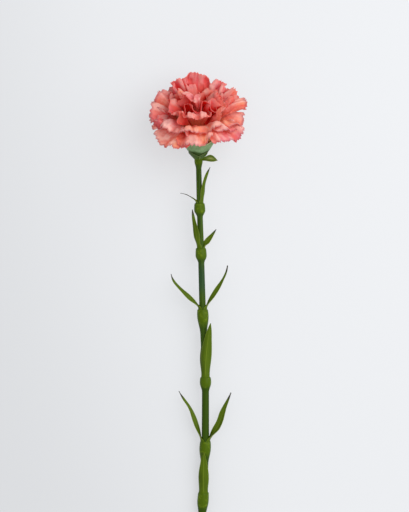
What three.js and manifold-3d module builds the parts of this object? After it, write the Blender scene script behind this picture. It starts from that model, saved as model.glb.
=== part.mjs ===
// A cut carnation lying on a table: a double, frilled bloom in a bell-shaped calyx, on a jointed
// stem with paired narrow leaves.
//
// The flower is modelled along +Y: Y is the height up the stem from its cut end, X goes across, and
// Z points away from the table. An azimuth goes round the stem from +X (0) through +Z (90). The
// bloom nods away from the table a little, and the whole flower is raised by a small angle, because
// the bloom props the stem up off the table. All lengths are in millimetres.
import * as THREE from "three";
import { mergeVertices } from "three/addons/utils/BufferGeometryUtils.js";
import Module from "manifold-3d";

const wasm = await Module();
wasm.setup();

const { degToRad, lerp, smoothstep } = THREE.MathUtils;

// ---- Driving dimensions -------------------------------------------------------------------------

const CALYX_BASE = 332; // height of the calyx above the stem's cut end
const CALYX_HEIGHT = 14; // to the notches between the teeth
const CALYX_BASE_RADIUS = 3.1;
const CALYX_MOUTH_RADIUS = 12.6;
const CALYX_WALL = 1;
const CALYX_FLOOR = 2.2;
const CALYX_TEETH = 5;
const TOOTH_HEIGHT = 2.6;

const STEM_CUT_RADIUS = 3.3;
const STEM_TOP_RADIUS = 2.1;
const RECEPTACLE_RADIUS = 3.2; // the stem's flared top, under the calyx
const STEM_SIDES = 12;
const CUT_SLANT = 0.9; // rise of the slanted cut across the stem, per millimetre

const PETAL_THICKNESS = 0.7;
const PETAL_ROOT_HEIGHT = 15.5; // above the calyx's base

const GAP = 0.35; // between neighbouring pieces
const NOD = degToRad(20); // how far the bloom leans away from the table, against the stem
const NOD_LENGTH = 20; // the length at the stem's top that bends into the nod
const HEAD_LIFT = 20.5; // height of the calyx's base above the table
const ORIGIN_HEIGHT = 198; // the height up the stem that lies over the part's origin
const ORIGIN_SIDE = -1; // how far to the side of the calyx's axis the origin is

// ---- Colours ------------------------------------------------------------------------------------

const FINISHES = {
  petal: { color: 0xe2726a, roughness: 0.6 },
  calyx: { color: 0x6f9160, roughness: 0.65 },
  stem: { color: 0x4a6418, roughness: 0.5 },
  leaf: { color: 0x5a7524, roughness: 0.55 },
};

// ---- Solids -------------------------------------------------------------------------------------

// The grid of triangles over rows x columns points that start at first, turned over if flipped.
function gridFaces(rows, columns, first, flipped, closed) {
  const faces = [];
  const across = closed ? columns : columns - 1;
  for (let row = 0; row < rows - 1; row++) {
    for (let column = 0; column < across; column++) {
      const a = first + row * columns + column;
      const b = first + row * columns + ((column + 1) % columns);
      const c = a + columns;
      const d = b + columns;
      if (flipped) faces.push(a, b, d, a, d, c);
      else faces.push(a, d, b, a, c, d);
    }
  }
  return faces;
}

function geometryOf(points, faces) {
  const positions = new Float32Array(points.flatMap((p) => p.toArray()));
  return new THREE.BufferGeometry()
    .setAttribute("position", new THREE.BufferAttribute(positions, 3))
    .setIndex(faces);
}

// A closed thin sheet: surface(s, t) is its middle, with s along it from 0 to 1 and t across it
// from -1 to 1, and thickness(s) is how thick it is. Both faces are split into triangles alike.
function sheetGeometry(surface, rowStations, columns, thickness) {
  const rows = rowStations.length;
  const middle = rowStations.map((s) =>
    Array.from({ length: columns }, (_, i) => surface(s, (2 * i) / (columns - 1) - 1)),
  );
  const front = [];
  const back = [];
  for (let row = 0; row < rows; row++) {
    for (let column = 0; column < columns; column++) {
      const along = new THREE.Vector3().subVectors(
        middle[Math.min(row + 1, rows - 1)][column],
        middle[Math.max(row - 1, 0)][column],
      );
      const across = new THREE.Vector3().subVectors(
        middle[row][Math.min(column + 1, columns - 1)],
        middle[row][Math.max(column - 1, 0)],
      );
      const half = thickness(rowStations[row]) / 2;
      const normal = across.cross(along).normalize().multiplyScalar(half);
      front.push(middle[row][column].clone().add(normal));
      back.push(middle[row][column].clone().sub(normal));
    }
  }
  const n = rows * columns;
  const faces = [
    ...gridFaces(rows, columns, 0, true, false),
    ...gridFaces(rows, columns, n, false, false),
  ];
  const rim = [];
  for (let i = 0; i < columns - 1; i++) rim.push(i);
  for (let i = 0; i < rows - 1; i++) rim.push((i + 1) * columns - 1);
  for (let i = columns - 1; i > 0; i--) rim.push((rows - 1) * columns + i);
  for (let i = rows - 1; i > 0; i--) rim.push(i * columns);
  rim.forEach((a, i) => {
    const b = rim[(i + 1) % rim.length];
    faces.push(a, a + n, b + n, a, b + n, b);
  });
  return geometryOf([...front, ...back], faces);
}

// A closed body of rings, each a list of the same number of points, with flat ends.
function ringGeometry(rings) {
  const sides = rings[0].length;
  const faces = gridFaces(rings.length, sides, 0, false, true);
  const last = (rings.length - 1) * sides;
  for (let i = 1; i < sides - 1; i++) {
    faces.push(0, i, i + 1);
    faces.push(last, last + i + 1, last + i);
  }
  return geometryOf(rings.flat(), faces);
}

function solidOf(geometry) {
  const merged = mergeVertices(geometry, 1e-4);
  return new wasm.Manifold(
    new wasm.Mesh({
      numProp: 3,
      vertProperties: merged.attributes.position.array,
      triVerts: new Uint32Array(merged.index.array),
    }),
  );
}

function geometryFrom(solid) {
  const mesh = solid.getMesh();
  return new THREE.BufferGeometry()
    .setAttribute("position", new THREE.BufferAttribute(mesh.vertProperties, mesh.numProp))
    .setIndex(new THREE.BufferAttribute(mesh.triVerts, 1));
}

function pieceOf(name, geometry, finish) {
  geometry.computeVertexNormals();
  const material = new THREE.MeshStandardMaterial({ ...FINISHES[finish], metalness: 0 });
  const mesh = new THREE.Mesh(geometry, material);
  mesh.name = name;
  return mesh;
}

// ---- Places on the flower -----------------------------------------------------------------------

const outward = (azimuth) => new THREE.Vector3(Math.cos(azimuth), 0, Math.sin(azimuth));
const around = (azimuth) => new THREE.Vector3(-Math.sin(azimuth), 0, Math.cos(azimuth));
const UP_THE_STEM = new THREE.Vector3(0, 1, 0);

// The stem's joints, from the lowest up: the height of the shoulder that the leaves stand on, how
// far to the side it is, the largest radius, the length of the swelling below it, and where on that
// length it is widest. The stem runs straight from joint to joint.
const JOINTS = {
  bare: { height: 24, side: 1.2, radius: 4.1, swelling: 9, widest: 0.4 },
  sixth: { height: 69, side: 3.9, radius: 4.5, swelling: 17, widest: 0.4 },
  fifth: { height: 109.5, side: 5.4, radius: 4.5, swelling: 18, widest: 0.3 },
  fourth: { height: 160.5, side: 5.5, radius: 4.45, swelling: 12, widest: 0.35 },
  third: { height: 214, side: 3.2, radius: 4.5, swelling: 20, widest: 0.25 },
  second: { height: 262, side: 1.9, radius: 4.35, swelling: 12, widest: 0.5 },
  first: { height: 297, side: 0.8, radius: 4.35, swelling: 11, widest: 0.5 },
};
const BENDS = [{ height: 0, side: 0.6 }, ...Object.values(JOINTS), { height: CALYX_BASE, side: 0 }];

// How much of the nod the stem has reached at a height, from 0 to 1.
const nodShare = (height) => Math.max(0, 1 - (CALYX_BASE - height) / NOD_LENGTH);

// The stem's axis at a height.
function stemCentre(height) {
  const upper = Math.max(1, BENDS.findIndex((bend) => bend.height >= height));
  const [from, to] = [BENDS[upper - 1], BENDS[upper]];
  const side = lerp(from.side, to.side, (height - from.height) / (to.height - from.height));
  const forward = (NOD_LENGTH / 2) * Math.tan(NOD) * nodShare(height) ** 2;
  return new THREE.Vector3(side, height, forward);
}

// How the flower lies: the lower edge of the cut end and the bloom both touch the table.
const HEAD_PLACE = stemCentre(CALYX_BASE);
const CUT_DEPTH = STEM_CUT_RADIUS * Math.cos(Math.PI / STEM_SIDES);
const CUT_REACH = CUT_DEPTH * CUT_SLANT;
const LIE_ANGLE = Math.asin((HEAD_LIFT - HEAD_PLACE.z - CUT_DEPTH) / (CALYX_BASE + CUT_REACH));
const CUT_LIFT = CUT_DEPTH * Math.cos(LIE_ANGLE) + CUT_REACH * Math.sin(LIE_ANGLE);
const HEAD_HEIGHT =
  CUT_LIFT + CALYX_BASE * Math.sin(LIE_ANGLE) + HEAD_PLACE.z * Math.cos(LIE_ANGLE);
const HEAD_TILT = NOD + LIE_ANGLE;
const TABLE_NORMAL = new THREE.Vector3(0, Math.sin(HEAD_TILT), Math.cos(HEAD_TILT));
const TABLE_FORWARD = new THREE.Vector3(0, Math.cos(HEAD_TILT), -Math.sin(HEAD_TILT));

// ---- Stem ---------------------------------------------------------------------------------------

const SHOULDER_STEP = 0.6; // height over which the stem narrows above a joint
const SHOULDER_FULLNESS = 0.78; // share of the swelling that is left at the shoulder

const internodeRadius = (height) => lerp(STEM_CUT_RADIUS, STEM_TOP_RADIUS, height / CALYX_BASE);

// The share of a joint's swelling at a distance below its shoulder.
function swellingAt(joint, below) {
  const x = below / joint.swelling;
  if (x < joint.widest) {
    return 1 - (1 - SHOULDER_FULLNESS) * ((joint.widest - x) / joint.widest) ** 2;
  }
  return Math.cos(((Math.PI / 2) * (x - joint.widest)) / (1 - joint.widest)) ** 2;
}

function stemStations() {
  const stations = [{ height: 0, radius: STEM_CUT_RADIUS }];
  for (const joint of Object.values(JOINTS)) {
    for (const share of [1, 0.84, 0.68, 0.52, 0.36, 0.18, 0]) {
      const height = joint.height - share * joint.swelling;
      const thin = internodeRadius(height);
      const swollen = (joint.radius - thin) * swellingAt(joint, share * joint.swelling);
      stations.push({ height, radius: thin + swollen });
    }
    const above = joint.height + SHOULDER_STEP;
    stations.push({ height: above, radius: internodeRadius(above) });
  }
  const top = CALYX_BASE - GAP;
  stations.push({ height: top - NOD_LENGTH, radius: STEM_TOP_RADIUS });
  stations.push({ height: top - 12, radius: STEM_TOP_RADIUS });
  stations.push({ height: top - 8, radius: STEM_TOP_RADIUS });
  stations.push({ height: top - 5, radius: lerp(STEM_TOP_RADIUS, RECEPTACLE_RADIUS, 0.45) });
  stations.push({ height: top - 2, radius: RECEPTACLE_RADIUS });
  stations.push({ height: top, radius: RECEPTACLE_RADIUS });
  return stations;
}

// A ring round the stem, square to its axis, with a flat side towards the table.
function stemRing({ height, radius }) {
  const tilt = Math.atan(Math.tan(NOD) * nodShare(height));
  return Array.from({ length: STEM_SIDES }, (_, i) => {
    const azimuth = (2 * Math.PI * (i + 0.5)) / STEM_SIDES;
    const spoke = outward(azimuth).applyAxisAngle(new THREE.Vector3(1, 0, 0), tilt);
    return stemCentre(height).addScaledVector(spoke, radius);
  });
}

function buildStem() {
  const rings = stemStations().map(stemRing);
  rings[0].forEach((point) => (point.y += CUT_SLANT * point.z));
  return pieceOf("stem", ringGeometry(rings), "stem");
}

// ---- Leaves -------------------------------------------------------------------------------------

// Each leaf starts as a half collar round the stem, standing on its joint's shoulder, then opens
// into a narrow channelled blade. It has a joint, an azimuth, a length, half a width, the twist of
// its blade, how far its tip swings round sideways, and its lean away from the stem at even steps
// from the collar to the tip. Angles are in degrees.
const leafOf = (joint, azimuth, length, width, twist, swing, lean) => ({
  joint,
  azimuth,
  length,
  width,
  twist,
  swing,
  lean,
});
const LEAVES = {
  leaf_1_right: leafOf("first", 25, 30, 2.4, -20, 0, [2, 6, 18, 32]),
  leaf_1_left: leafOf("first", 205, 18, 1.1, 0, 0, [50, 64, 84]),
  leaf_2_left: leafOf("second", 150, 31.5, 2.6, 40, 0, [8, 10, 12, 6]),
  leaf_2_right: leafOf("second", 330, 19.5, 2.4, 45, 0, [38, 42, 38]),
  leaf_3_left: leafOf("third", 180, 37, 2.1, -55, 0, [44, 46, 46, 40, 8]),
  leaf_3_right: leafOf("third", 0, 39.5, 2.1, 55, 0, [28, 32, 32, 26, 5]),
  leaf_4_front: leafOf("fourth", 92, 44.5, 5.2, 0, -11, [2, 4, 9]),
  leaf_4_back: leafOf("fourth", 268, 40, 4.9, -8, 0, [2, 4, 6]),
  leaf_5_left: leafOf("fifth", 180, 45, 2.1, -60, 0, [18, 18, 20, 37, 28]),
  leaf_5_right: leafOf("fifth", 0, 43.5, 3.1, 62, 0, [32, 32, 14, 25, 21]),
  leaf_6_front: leafOf("sixth", 88, 34, 5, -4, 0, [1, 3, 6]),
  leaf_6_back: leafOf("sixth", 268, 30, 3.9, 6, 0, [2, 4, 6]),
};
const COLLAR_HEIGHT = 2.2; // how far a leaf's base stays against the stem
const COLLAR_WRAP = degToRad(83); // half the angle that a leaf's base covers
const LEAF_BASE_THICKNESS = 1;
const LEAF_TIP_THICKNESS = 0.6;
const LEAF_TIP_WIDTH = 0.35;
const LEAF_CHANNEL = 5; // the radius that a blade's channel opens to
const LEAF_ROWS = [0, 0.05, 0.1, 0.16, 0.23, 0.32, 0.42, 0.53, 0.64, 0.75, 0.86, 0.94, 1];
const LEAF_COLUMNS = 5;
const PATH_STEPS = 100;

const leafThickness = (s) => lerp(LEAF_BASE_THICKNESS, LEAF_TIP_THICKNESS, Math.sqrt(s));

// The lean of a leaf's midrib, in radians, at a distance along it.
function leanAt(leaf, distance) {
  const free = Math.max(0, (distance - COLLAR_HEIGHT) / (leaf.length - COLLAR_HEIGHT));
  const place = Math.min(free, 1) * (leaf.lean.length - 1);
  const from = Math.min(Math.floor(place), leaf.lean.length - 2);
  const lean = lerp(leaf.lean[from], leaf.lean[from + 1], place - from);
  return degToRad(lean) * smoothstep(distance, COLLAR_HEIGHT * 0.5, COLLAR_HEIGHT * 1.7);
}

// A leaf's midrib: places along it, each with its direction and the direction across the blade.
function midribOf(leaf) {
  const azimuth = degToRad(leaf.azimuth);
  const foot = JOINTS[leaf.joint].height + SHOULDER_STEP + GAP;
  const collarRadius = internodeRadius(foot) + GAP + LEAF_BASE_THICKNESS / 2;
  const place = stemCentre(foot).addScaledVector(outward(azimuth), collarRadius);
  const places = [];
  for (let i = 0; i <= PATH_STEPS; i++) {
    const s = i / PATH_STEPS;
    const lean = leanAt(leaf, s * leaf.length);
    const along = UP_THE_STEM.clone()
      .multiplyScalar(Math.cos(lean))
      .addScaledVector(outward(azimuth), Math.sin(lean))
      .addScaledVector(around(azimuth), s * Math.tan(degToRad(leaf.swing)))
      .normalize();
    const twist = degToRad(leaf.twist) * smoothstep(s, 0.03, 0.35);
    const across = around(azimuth).applyAxisAngle(along, twist);
    places.push({ place: place.clone(), along, across, collarRadius });
    place.addScaledVector(along, leaf.length / PATH_STEPS);
  }
  return places;
}

// Half the width of a leaf, measured along its curved section.
function halfWidthOf(leaf, s, collarRadius) {
  const collar = collarRadius * COLLAR_WRAP;
  const blade = leaf.width * (0.82 + 0.18 * Math.sin(Math.PI * Math.min(1, s * 1.4)));
  const opened = smoothstep(s * leaf.length, COLLAR_HEIGHT * 0.3, COLLAR_HEIGHT * 2.2);
  const taper = Math.max(0, 1 - s ** 3.2) ** 0.85;
  return Math.max(LEAF_TIP_WIDTH, lerp(collar, blade, opened) * taper);
}

function leafSurface(leaf) {
  const midrib = midribOf(leaf);
  return (s, t) => {
    const { place, along, across, collarRadius } = midrib[Math.round(s * PATH_STEPS)];
    const channel = lerp(collarRadius, LEAF_CHANNEL, smoothstep(s, 0.08, 0.5));
    const turn = (t * halfWidthOf(leaf, s, collarRadius)) / channel;
    const inner = across.clone().cross(along);
    return place
      .clone()
      .addScaledVector(across, channel * Math.sin(turn))
      .addScaledVector(inner, channel * (1 - Math.cos(turn)));
  };
}

function buildLeaf([name, leaf]) {
  const geometry = sheetGeometry(leafSurface(leaf), LEAF_ROWS, LEAF_COLUMNS, leafThickness);
  return pieceOf(name, geometry, "leaf");
}

// ---- Calyx, its scales and the bract ------------------------------------------------------------
//
// From here on, heights are above the calyx's base, along the bloom's own axis.

const CALYX_FULLNESS = 0.35; // how far its sides swell out between foot and mouth
const CALYX_COLUMNS = 6 * CALYX_TEETH;
const CALYX_ROWS = 6;

// The calyx's outer radius at a height above its base: a cone that steepens a little upwards.
function calyxRadius(height) {
  const up = height / CALYX_HEIGHT;
  return lerp(CALYX_BASE_RADIUS, CALYX_MOUTH_RADIUS, up * lerp(1 + CALYX_FULLNESS, 1, up));
}

// The height of the calyx's rim, which stands up in pointed teeth.
function rimHeight(azimuth) {
  const phase = ((azimuth * CALYX_TEETH) / (2 * Math.PI)) % 1;
  const tooth = 1 - Math.abs(2 * phase - 1);
  return CALYX_HEIGHT + TOOTH_HEIGHT * tooth ** 1.3;
}

function calyxRing(share, inset, floor) {
  return Array.from({ length: CALYX_COLUMNS }, (_, i) => {
    const azimuth = (2 * Math.PI * i) / CALYX_COLUMNS;
    const height = lerp(floor, rimHeight(azimuth), share);
    const radius = calyxRadius(height) - inset;
    return new THREE.Vector3(0, height, 0).addScaledVector(outward(azimuth), radius);
  });
}

function buildCalyx() {
  const rings = [];
  for (let row = 0; row <= CALYX_ROWS; row++) rings.push(calyxRing(row / CALYX_ROWS, 0, 0));
  for (let row = CALYX_ROWS; row >= 0; row--) {
    rings.push(calyxRing(row / CALYX_ROWS, CALYX_WALL, CALYX_FLOOR));
  }
  return pieceOf("calyx", ringGeometry(rings), "calyx");
}

// Four short broad scales clasp the foot of the calyx, in two pairs.
const SCALES = [
  { name: "scale_front_right", azimuth: 45, height: 7.5 },
  { name: "scale_front_left", azimuth: 135, height: 8 },
  { name: "scale_back_left", azimuth: 225, height: 7.5 },
  { name: "scale_back_right", azimuth: 315, height: 8 },
];
const SCALE_WRAP = degToRad(42);
const SCALE_THICKNESS = 0.8;
const SCALE_SHOULDER = 0.4; // the share of its height up to which a scale is full width

function scaleSurface({ azimuth, height }) {
  return (s, t) => {
    const up = s * height;
    const pointed = Math.max(0, (s - SCALE_SHOULDER) / (1 - SCALE_SHOULDER)) ** 0.6;
    const wrap = SCALE_WRAP * Math.max(0.05, 1 - pointed);
    const turned = degToRad(azimuth) + t * wrap;
    const radius = calyxRadius(up) + GAP + SCALE_THICKNESS / 2 + 0.25 * s;
    return new THREE.Vector3(0, up, 0).addScaledVector(outward(turned), radius);
  };
}

function buildScale(scale) {
  const rows = [0, 0.2, 0.4, 0.5, 0.65, 0.82, 1];
  const geometry = sheetGeometry(scaleSurface(scale), rows, 5, () => SCALE_THICKNESS);
  return pieceOf(scale.name, geometry, "stem");
}

// A small pointed bract stands out sideways from the stem's top, under the calyx.
const BRACT_LENGTH = 11.5;
const BRACT_WIDTH = 2.9;
const BRACT_BASE = -2; // the height of its foot
const BRACT_ARCH = 1.9;
const BRACT_RISE = -0.2; // of its tip above its foot
const BRACT_FACE = degToRad(62); // how far its upper face turns away from the table

function bractSurface(s, t) {
  const out = RECEPTACLE_RADIUS + GAP + s * BRACT_LENGTH;
  const half = BRACT_WIDTH * Math.max(0.12, Math.sin(Math.PI * Math.min(1, 0.12 + 0.9 * s ** 1.4)));
  const up = BRACT_BASE + BRACT_ARCH * Math.sin(Math.PI * s) + BRACT_RISE * s ** 2;
  const fold = 0.5 * half * t ** 2;
  const across = new THREE.Vector3(0, -Math.sin(BRACT_FACE), Math.cos(BRACT_FACE));
  const face = new THREE.Vector3(0, Math.cos(BRACT_FACE), Math.sin(BRACT_FACE));
  return new THREE.Vector3(out, up, 0)
    .addScaledVector(across, t * half)
    .addScaledVector(face, fold);
}

function buildBract() {
  const rows = [0, 0.12, 0.25, 0.4, 0.55, 0.7, 0.85, 1];
  return pieceOf("bract", sheetGeometry(bractSurface, rows, 5, () => SCALE_THICKNESS), "leaf");
}

// ---- Bloom --------------------------------------------------------------------------------------

// Places along a petal, from its start in the heart to its edge.
const OUTER_ROWS = [0, 0.4, 0.72, 1];
const INNER_ROWS = [0, 0.55, 1];

// The petals stand in whorls, from the outside in. Each petal is placed by its edge: its azimuth,
// how far out and how high the edge is, its lean there in degrees, half its width, how much it
// rolls to one side, the height of its ruffles and their phase. The placed ones give the bloom its
// lobes. The ring's are spread evenly from its first azimuth to its last; its front petals are
// lower than its back ones by the whorl's facing, and they stray from their places by its loose.
const WHORLS = [
  {
    root: 8,
    rootLean: 12,
    pull: 0.55,
    waves: 1.7,
    facing: 0,
    loose: 1,
    start: 0.25,
    rows: OUTER_ROWS,
    columns: 9,
    placed: [
      { azimuth: 96, reach: 36, height: 19.5, lean: 134, width: 14, roll: -0.2, ruffle: 1.6, phase: 0.4 },
      { azimuth: 137, reach: 35, height: 16, lean: 128, width: 16, roll: 0.1, ruffle: 2, phase: 2 },
      { azimuth: 41, reach: 38, height: 21, lean: 126, width: 16, roll: -0.1, ruffle: 2.2, phase: 4.4 },
      { azimuth: 172, reach: 36, height: 28, lean: 142, width: 12, roll: 0.5, ruffle: 2, phase: 1 },
      { azimuth: 16, reach: 36, height: 30, lean: 116, width: 12, roll: -0.2, ruffle: 2.4, phase: 3 },
    ],
    ring: { count: 3, first: 225, last: 325, reach: 36, height: 22, lean: 118, width: 16, ruffle: 2 },
  },
  {
    root: 7,
    rootLean: 9,
    pull: 0.46,
    waves: 2,
    facing: 0,
    loose: 1,
    start: 0.3,
    rows: OUTER_ROWS,
    columns: 9,
    placed: [
      { azimuth: 177, reach: 37.5, height: 42, lean: 78, width: 13, roll: 0.7, ruffle: 2, phase: 0.5 },
      { azimuth: 193, reach: 33, height: 50, lean: 62, width: 12, roll: 0.5, ruffle: 2.4, phase: 2.6 },
      { azimuth: 3, reach: 38, height: 45, lean: 84, width: 6, roll: -0.8, ruffle: 1.2, phase: 1.6 },
      { azimuth: 136, reach: 32, height: 27.5, lean: 146, width: 15, roll: 0.25, ruffle: 2.2, phase: 5 },
      { azimuth: 39, reach: 33.5, height: 27, lean: 136, width: 14, roll: 0.1, ruffle: 1.6, phase: 1.1 },
      { azimuth: 86, reach: 31.5, height: 27.5, lean: 142, width: 16, roll: -0.15, ruffle: 1.8, phase: 0.2 },
    ],
    ring: { count: 3, first: 225, last: 315, reach: 34, height: 36, lean: 100, width: 16, ruffle: 2.6 },
  },
  {
    root: 5.5,
    rootLean: 7,
    pull: 0.42,
    waves: 2.4,
    facing: 0.1,
    loose: 1,
    start: 0.35,
    rows: INNER_ROWS,
    columns: 7,
    placed: [
      { azimuth: 93, reach: 27, height: 39.5, lean: 156, width: 11, roll: 0, ruffle: 1.5, phase: 3.4 },
      { azimuth: 150, reach: 26, height: 45, lean: 70, width: 12, roll: 0.5, ruffle: 3.4, phase: 0.9 },
      { azimuth: 128, reach: 20, height: 54, lean: 100, width: 9, roll: 0.1, ruffle: 2.4, phase: 2.2 },
      { azimuth: 28, reach: 23, height: 46, lean: 48, width: 10, roll: -0.6, ruffle: 1.8, phase: 4.6 },
      { azimuth: 345, reach: 31, height: 52, lean: 62, width: 8, roll: -0.3, ruffle: 2.4, phase: 4 },
      { azimuth: 316, reach: 26, height: 57.5, lean: 42, width: 7.5, roll: -0.1, ruffle: 2.4, phase: 5.5 },
    ],
    ring: { count: 3, first: 215, last: 285, reach: 26, height: 50, lean: 70, width: 13, ruffle: 3 },
  },
  {
    root: 4,
    rootLean: 5,
    pull: 0.4,
    waves: 2,
    facing: 0.25,
    loose: 1.6,
    start: 0.4,
    rows: INNER_ROWS,
    columns: 7,
    placed: [
      { azimuth: 217, reach: 24, height: 59, lean: 40, width: 7, roll: 0.1, ruffle: 3, phase: 0.2 },
      { azimuth: 261, reach: 14, height: 65, lean: -30, width: 11.5, roll: 0, ruffle: 1, phase: 0.6 },
    ],
    ring: { count: 5, first: 15, last: 320, reach: 17, height: 48, lean: 58, width: 12, ruffle: 4 },
  },
  {
    root: 2,
    rootLean: 2,
    pull: 0.4,
    waves: 2.4,
    facing: 0.3,
    loose: 1.8,
    start: 0.4,
    rows: INNER_ROWS,
    columns: 6,
    placed: [],
    ring: { count: 6, first: 40, last: 340, reach: 10, height: 48, lean: 26, width: 8, ruffle: 3 },
  },
];
const FACING_LEAN = 110; // extra lean of a ring's front petals, in degrees, for a facing of 1
const CLAW_WIDTH = 0.12; // of the narrow foot of a petal, as a share of its blade
const FAN = 1.1; // how much wider apart, in radians, a petal's middle columns are than its side ones
const TOOTH_DEPTH = 1.8;
const EDGE_ROUNDING = 0.16; // how much shorter a petal is at its sides than at its middle
const PRESSED_HEIGHT = 0; // of the middle of a petal that lies on the table
const PRESS_BLEND = 0.5; // how gently petals bend onto the table
const SMOOTHING = 0.08; // the most that fusing the petals may move their surface
const SEED = 7;

// Park and Miller's generator: the same draws on every run.
function drawsFrom(seed) {
  let state = seed;
  return (low, high) => {
    state = (state * 16807) % 2147483647;
    return lerp(low, high, state / 2147483647);
  };
}

// The petals of a whorl's ring. The front ones stand lower and bend out further than the back ones.
function ringPetals({ ring, facing, loose }, draw) {
  return Array.from({ length: ring.count }, (_, i) => {
    const step = (ring.last - ring.first) / (ring.count - 1);
    const azimuth = ring.first + step * (i + draw(-0.3, 0.3));
    const front = facing * Math.sin(degToRad(azimuth));
    return {
      azimuth,
      reach: ring.reach * draw(0.88, 1.08),
      height: ring.height - front * ring.reach + draw(-2.5, 2.5) * loose,
      lean: ring.lean + FACING_LEAN * front + draw(-14, 14) * loose,
      width: ring.width * draw(0.9, 1.1),
      roll: draw(-0.25, 0.25),
      ruffle: ring.ruffle * draw(0.8, 1.2),
      phase: draw(0, 2 * Math.PI),
    };
  });
}

function allPetals() {
  const draw = drawsFrom(SEED);
  return WHORLS.flatMap((whorl) =>
    [...whorl.placed, ...ringPetals(whorl, draw)].map((petal) => ({
      ...whorl,
      ...petal,
      azimuth: degToRad(petal.azimuth),
      waves: whorl.waves * draw(0.85, 1.15),
      second: draw(0, 2 * Math.PI),
      swirl: draw(-2, 2),
    })),
  );
}

// A petal's midline, a smooth curve from its root to its edge, with X the way out and Y the way up.
function midlineOf({ root, rootLean, reach, height, lean, pull }) {
  const foot = new THREE.Vector2(root, PETAL_ROOT_HEIGHT);
  const edge = new THREE.Vector2(reach, height);
  const hold = pull * foot.distanceTo(edge);
  const direction = (angle) => new THREE.Vector2(Math.sin(degToRad(angle)), Math.cos(degToRad(angle)));
  const rising = foot.clone().addScaledVector(direction(rootLean), hold);
  const falling = edge.clone().addScaledVector(direction(lean), -hold);
  return new THREE.CubicBezierCurve(foot, rising, falling, edge);
}

// The height of a petal's surface off its plain bent form: its roll and its ruffles.
function petalRelief(petal, s, t, x) {
  const angle = Math.PI * petal.waves * t;
  const wave =
    Math.sin(angle + petal.phase + petal.swirl * s) +
    0.35 * Math.sin(1.9 * angle + petal.second - petal.swirl * s);
  return petal.roll * x * smoothstep(s, 0, 0.6) + petal.ruffle * smoothstep(s, 0.25, 1) * wave;
}

// Bends a point that would be under the table forward, to lie on it.
function pressed(point) {
  const height = point.dot(TABLE_NORMAL) + HEAD_HEIGHT;
  const depth = (PRESSED_HEIGHT - height) / PRESS_BLEND;
  const risen = depth > 0 ? depth + Math.log(1 + Math.exp(-depth)) : Math.log(1 + Math.exp(depth));
  return point
    .addScaledVector(TABLE_NORMAL, PRESS_BLEND * risen)
    .addScaledVector(TABLE_FORWARD, PRESS_BLEND * risen);
}

function petalSurface(petal) {
  const midline = midlineOf(petal);
  const length = Math.hypot(petal.reach - petal.root, petal.height - PETAL_ROOT_HEIGHT);
  return (clear, t) => {
    const s = lerp(petal.start, 1, clear);
    const opened = Math.sin((Math.PI / 2) * Math.min(1, (s - CLAW_WIDTH) / 0.8)) ** 1.4;
    const blade = lerp(CLAW_WIDTH, 1, opened);
    const x = (petal.width * blade * Math.sin(FAN * t)) / Math.sin(FAN);
    const tooth = Math.round(((t + 1) / 2) * (petal.columns - 1)) % 2 ? TOOTH_DEPTH : 0;
    const rounded = s * (1 - EDGE_ROUNDING * t * t * blade);
    const place = rounded - (tooth / length) * smoothstep(s, 0.86, 1);
    const { x: out, y: up } = midline.getPoint(place);
    const lean = midline.getTangent(place);
    const relief = petalRelief(petal, s, t, x);
    const point = new THREE.Vector3()
      .addScaledVector(outward(petal.azimuth), out - relief * lean.y)
      .addScaledVector(UP_THE_STEM, up + relief * lean.x)
      .addScaledVector(around(petal.azimuth), x);
    return pressed(point);
  };
}

// The heart that the petals stand out of: their claws, packed together in the calyx, and a dome.
function heartSolid() {
  const sides = 16;
  const inside = (height) => calyxRadius(height) - CALYX_WALL - GAP;
  const profile = [
    [inside(CALYX_FLOOR + GAP), CALYX_FLOOR + GAP],
    [inside(5), 5],
    [inside(9), 9],
    [inside(12.5), 12.5],
    [8.6, 15],
    [14, 18.5],
    [17, 25],
    [16, 33],
    [12, 40],
    [6, 44],
  ];
  const rings = profile.map(([radius, height]) =>
    Array.from({ length: sides }, (_, i) =>
      new THREE.Vector3(0, height, 0).addScaledVector(
        outward((2 * Math.PI * i) / sides),
        radius,
      ),
    ),
  );
  return solidOf(ringGeometry(rings));
}

function petalSolid(petal) {
  const thickness = () => PETAL_THICKNESS;
  return solidOf(sheetGeometry(petalSurface(petal), petal.rows, petal.columns, thickness));
}

function buildBloom() {
  const joined = wasm.Manifold.union([heartSolid(), ...allPetals().map(petalSolid)])
    .trimByPlane(TABLE_NORMAL.toArray(), -HEAD_HEIGHT)
    .simplify(SMOOTHING);
  const [bloom] = joined.decompose().sort((a, b) => b.volume() - a.volume());
  return pieceOf("bloom", geometryFrom(bloom), "petal");
}

// ---- The flower ---------------------------------------------------------------------------------

const head = new THREE.Group();
head.add(buildCalyx(), ...SCALES.map(buildScale), buildBract(), buildBloom());
head.position.copy(HEAD_PLACE);
head.rotation.x = NOD;

const flower = new THREE.Group();
flower.add(buildStem(), ...Object.entries(LEAVES).map(buildLeaf), head);
flower.rotation.x = LIE_ANGLE;
flower.position.set(-ORIGIN_SIDE, -ORIGIN_HEIGHT * Math.cos(LIE_ANGLE), CUT_LIFT);

const carnation = new THREE.Group();
carnation.add(flower);

export default carnation;
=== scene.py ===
"""A cut carnation lying on a pale table: a salmon bloom, its calyx, a jointed stem and its leaves.

Run as a script in Blender 4.5, it registers the add-on below and calls its operators in order.
Lengths in the property group are in metres, and all others are in millimetres unless a name says
otherwise. The flower is made along +Y, from the stem's cut end up: X is across it and Z points
away from the table. An azimuth goes round the stem from +X through +Z.
"""

import math
from typing import NamedTuple

import bpy
import numpy as np
from mathutils import Matrix, Vector
from mathutils.bvhtree import BVHTree


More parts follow.
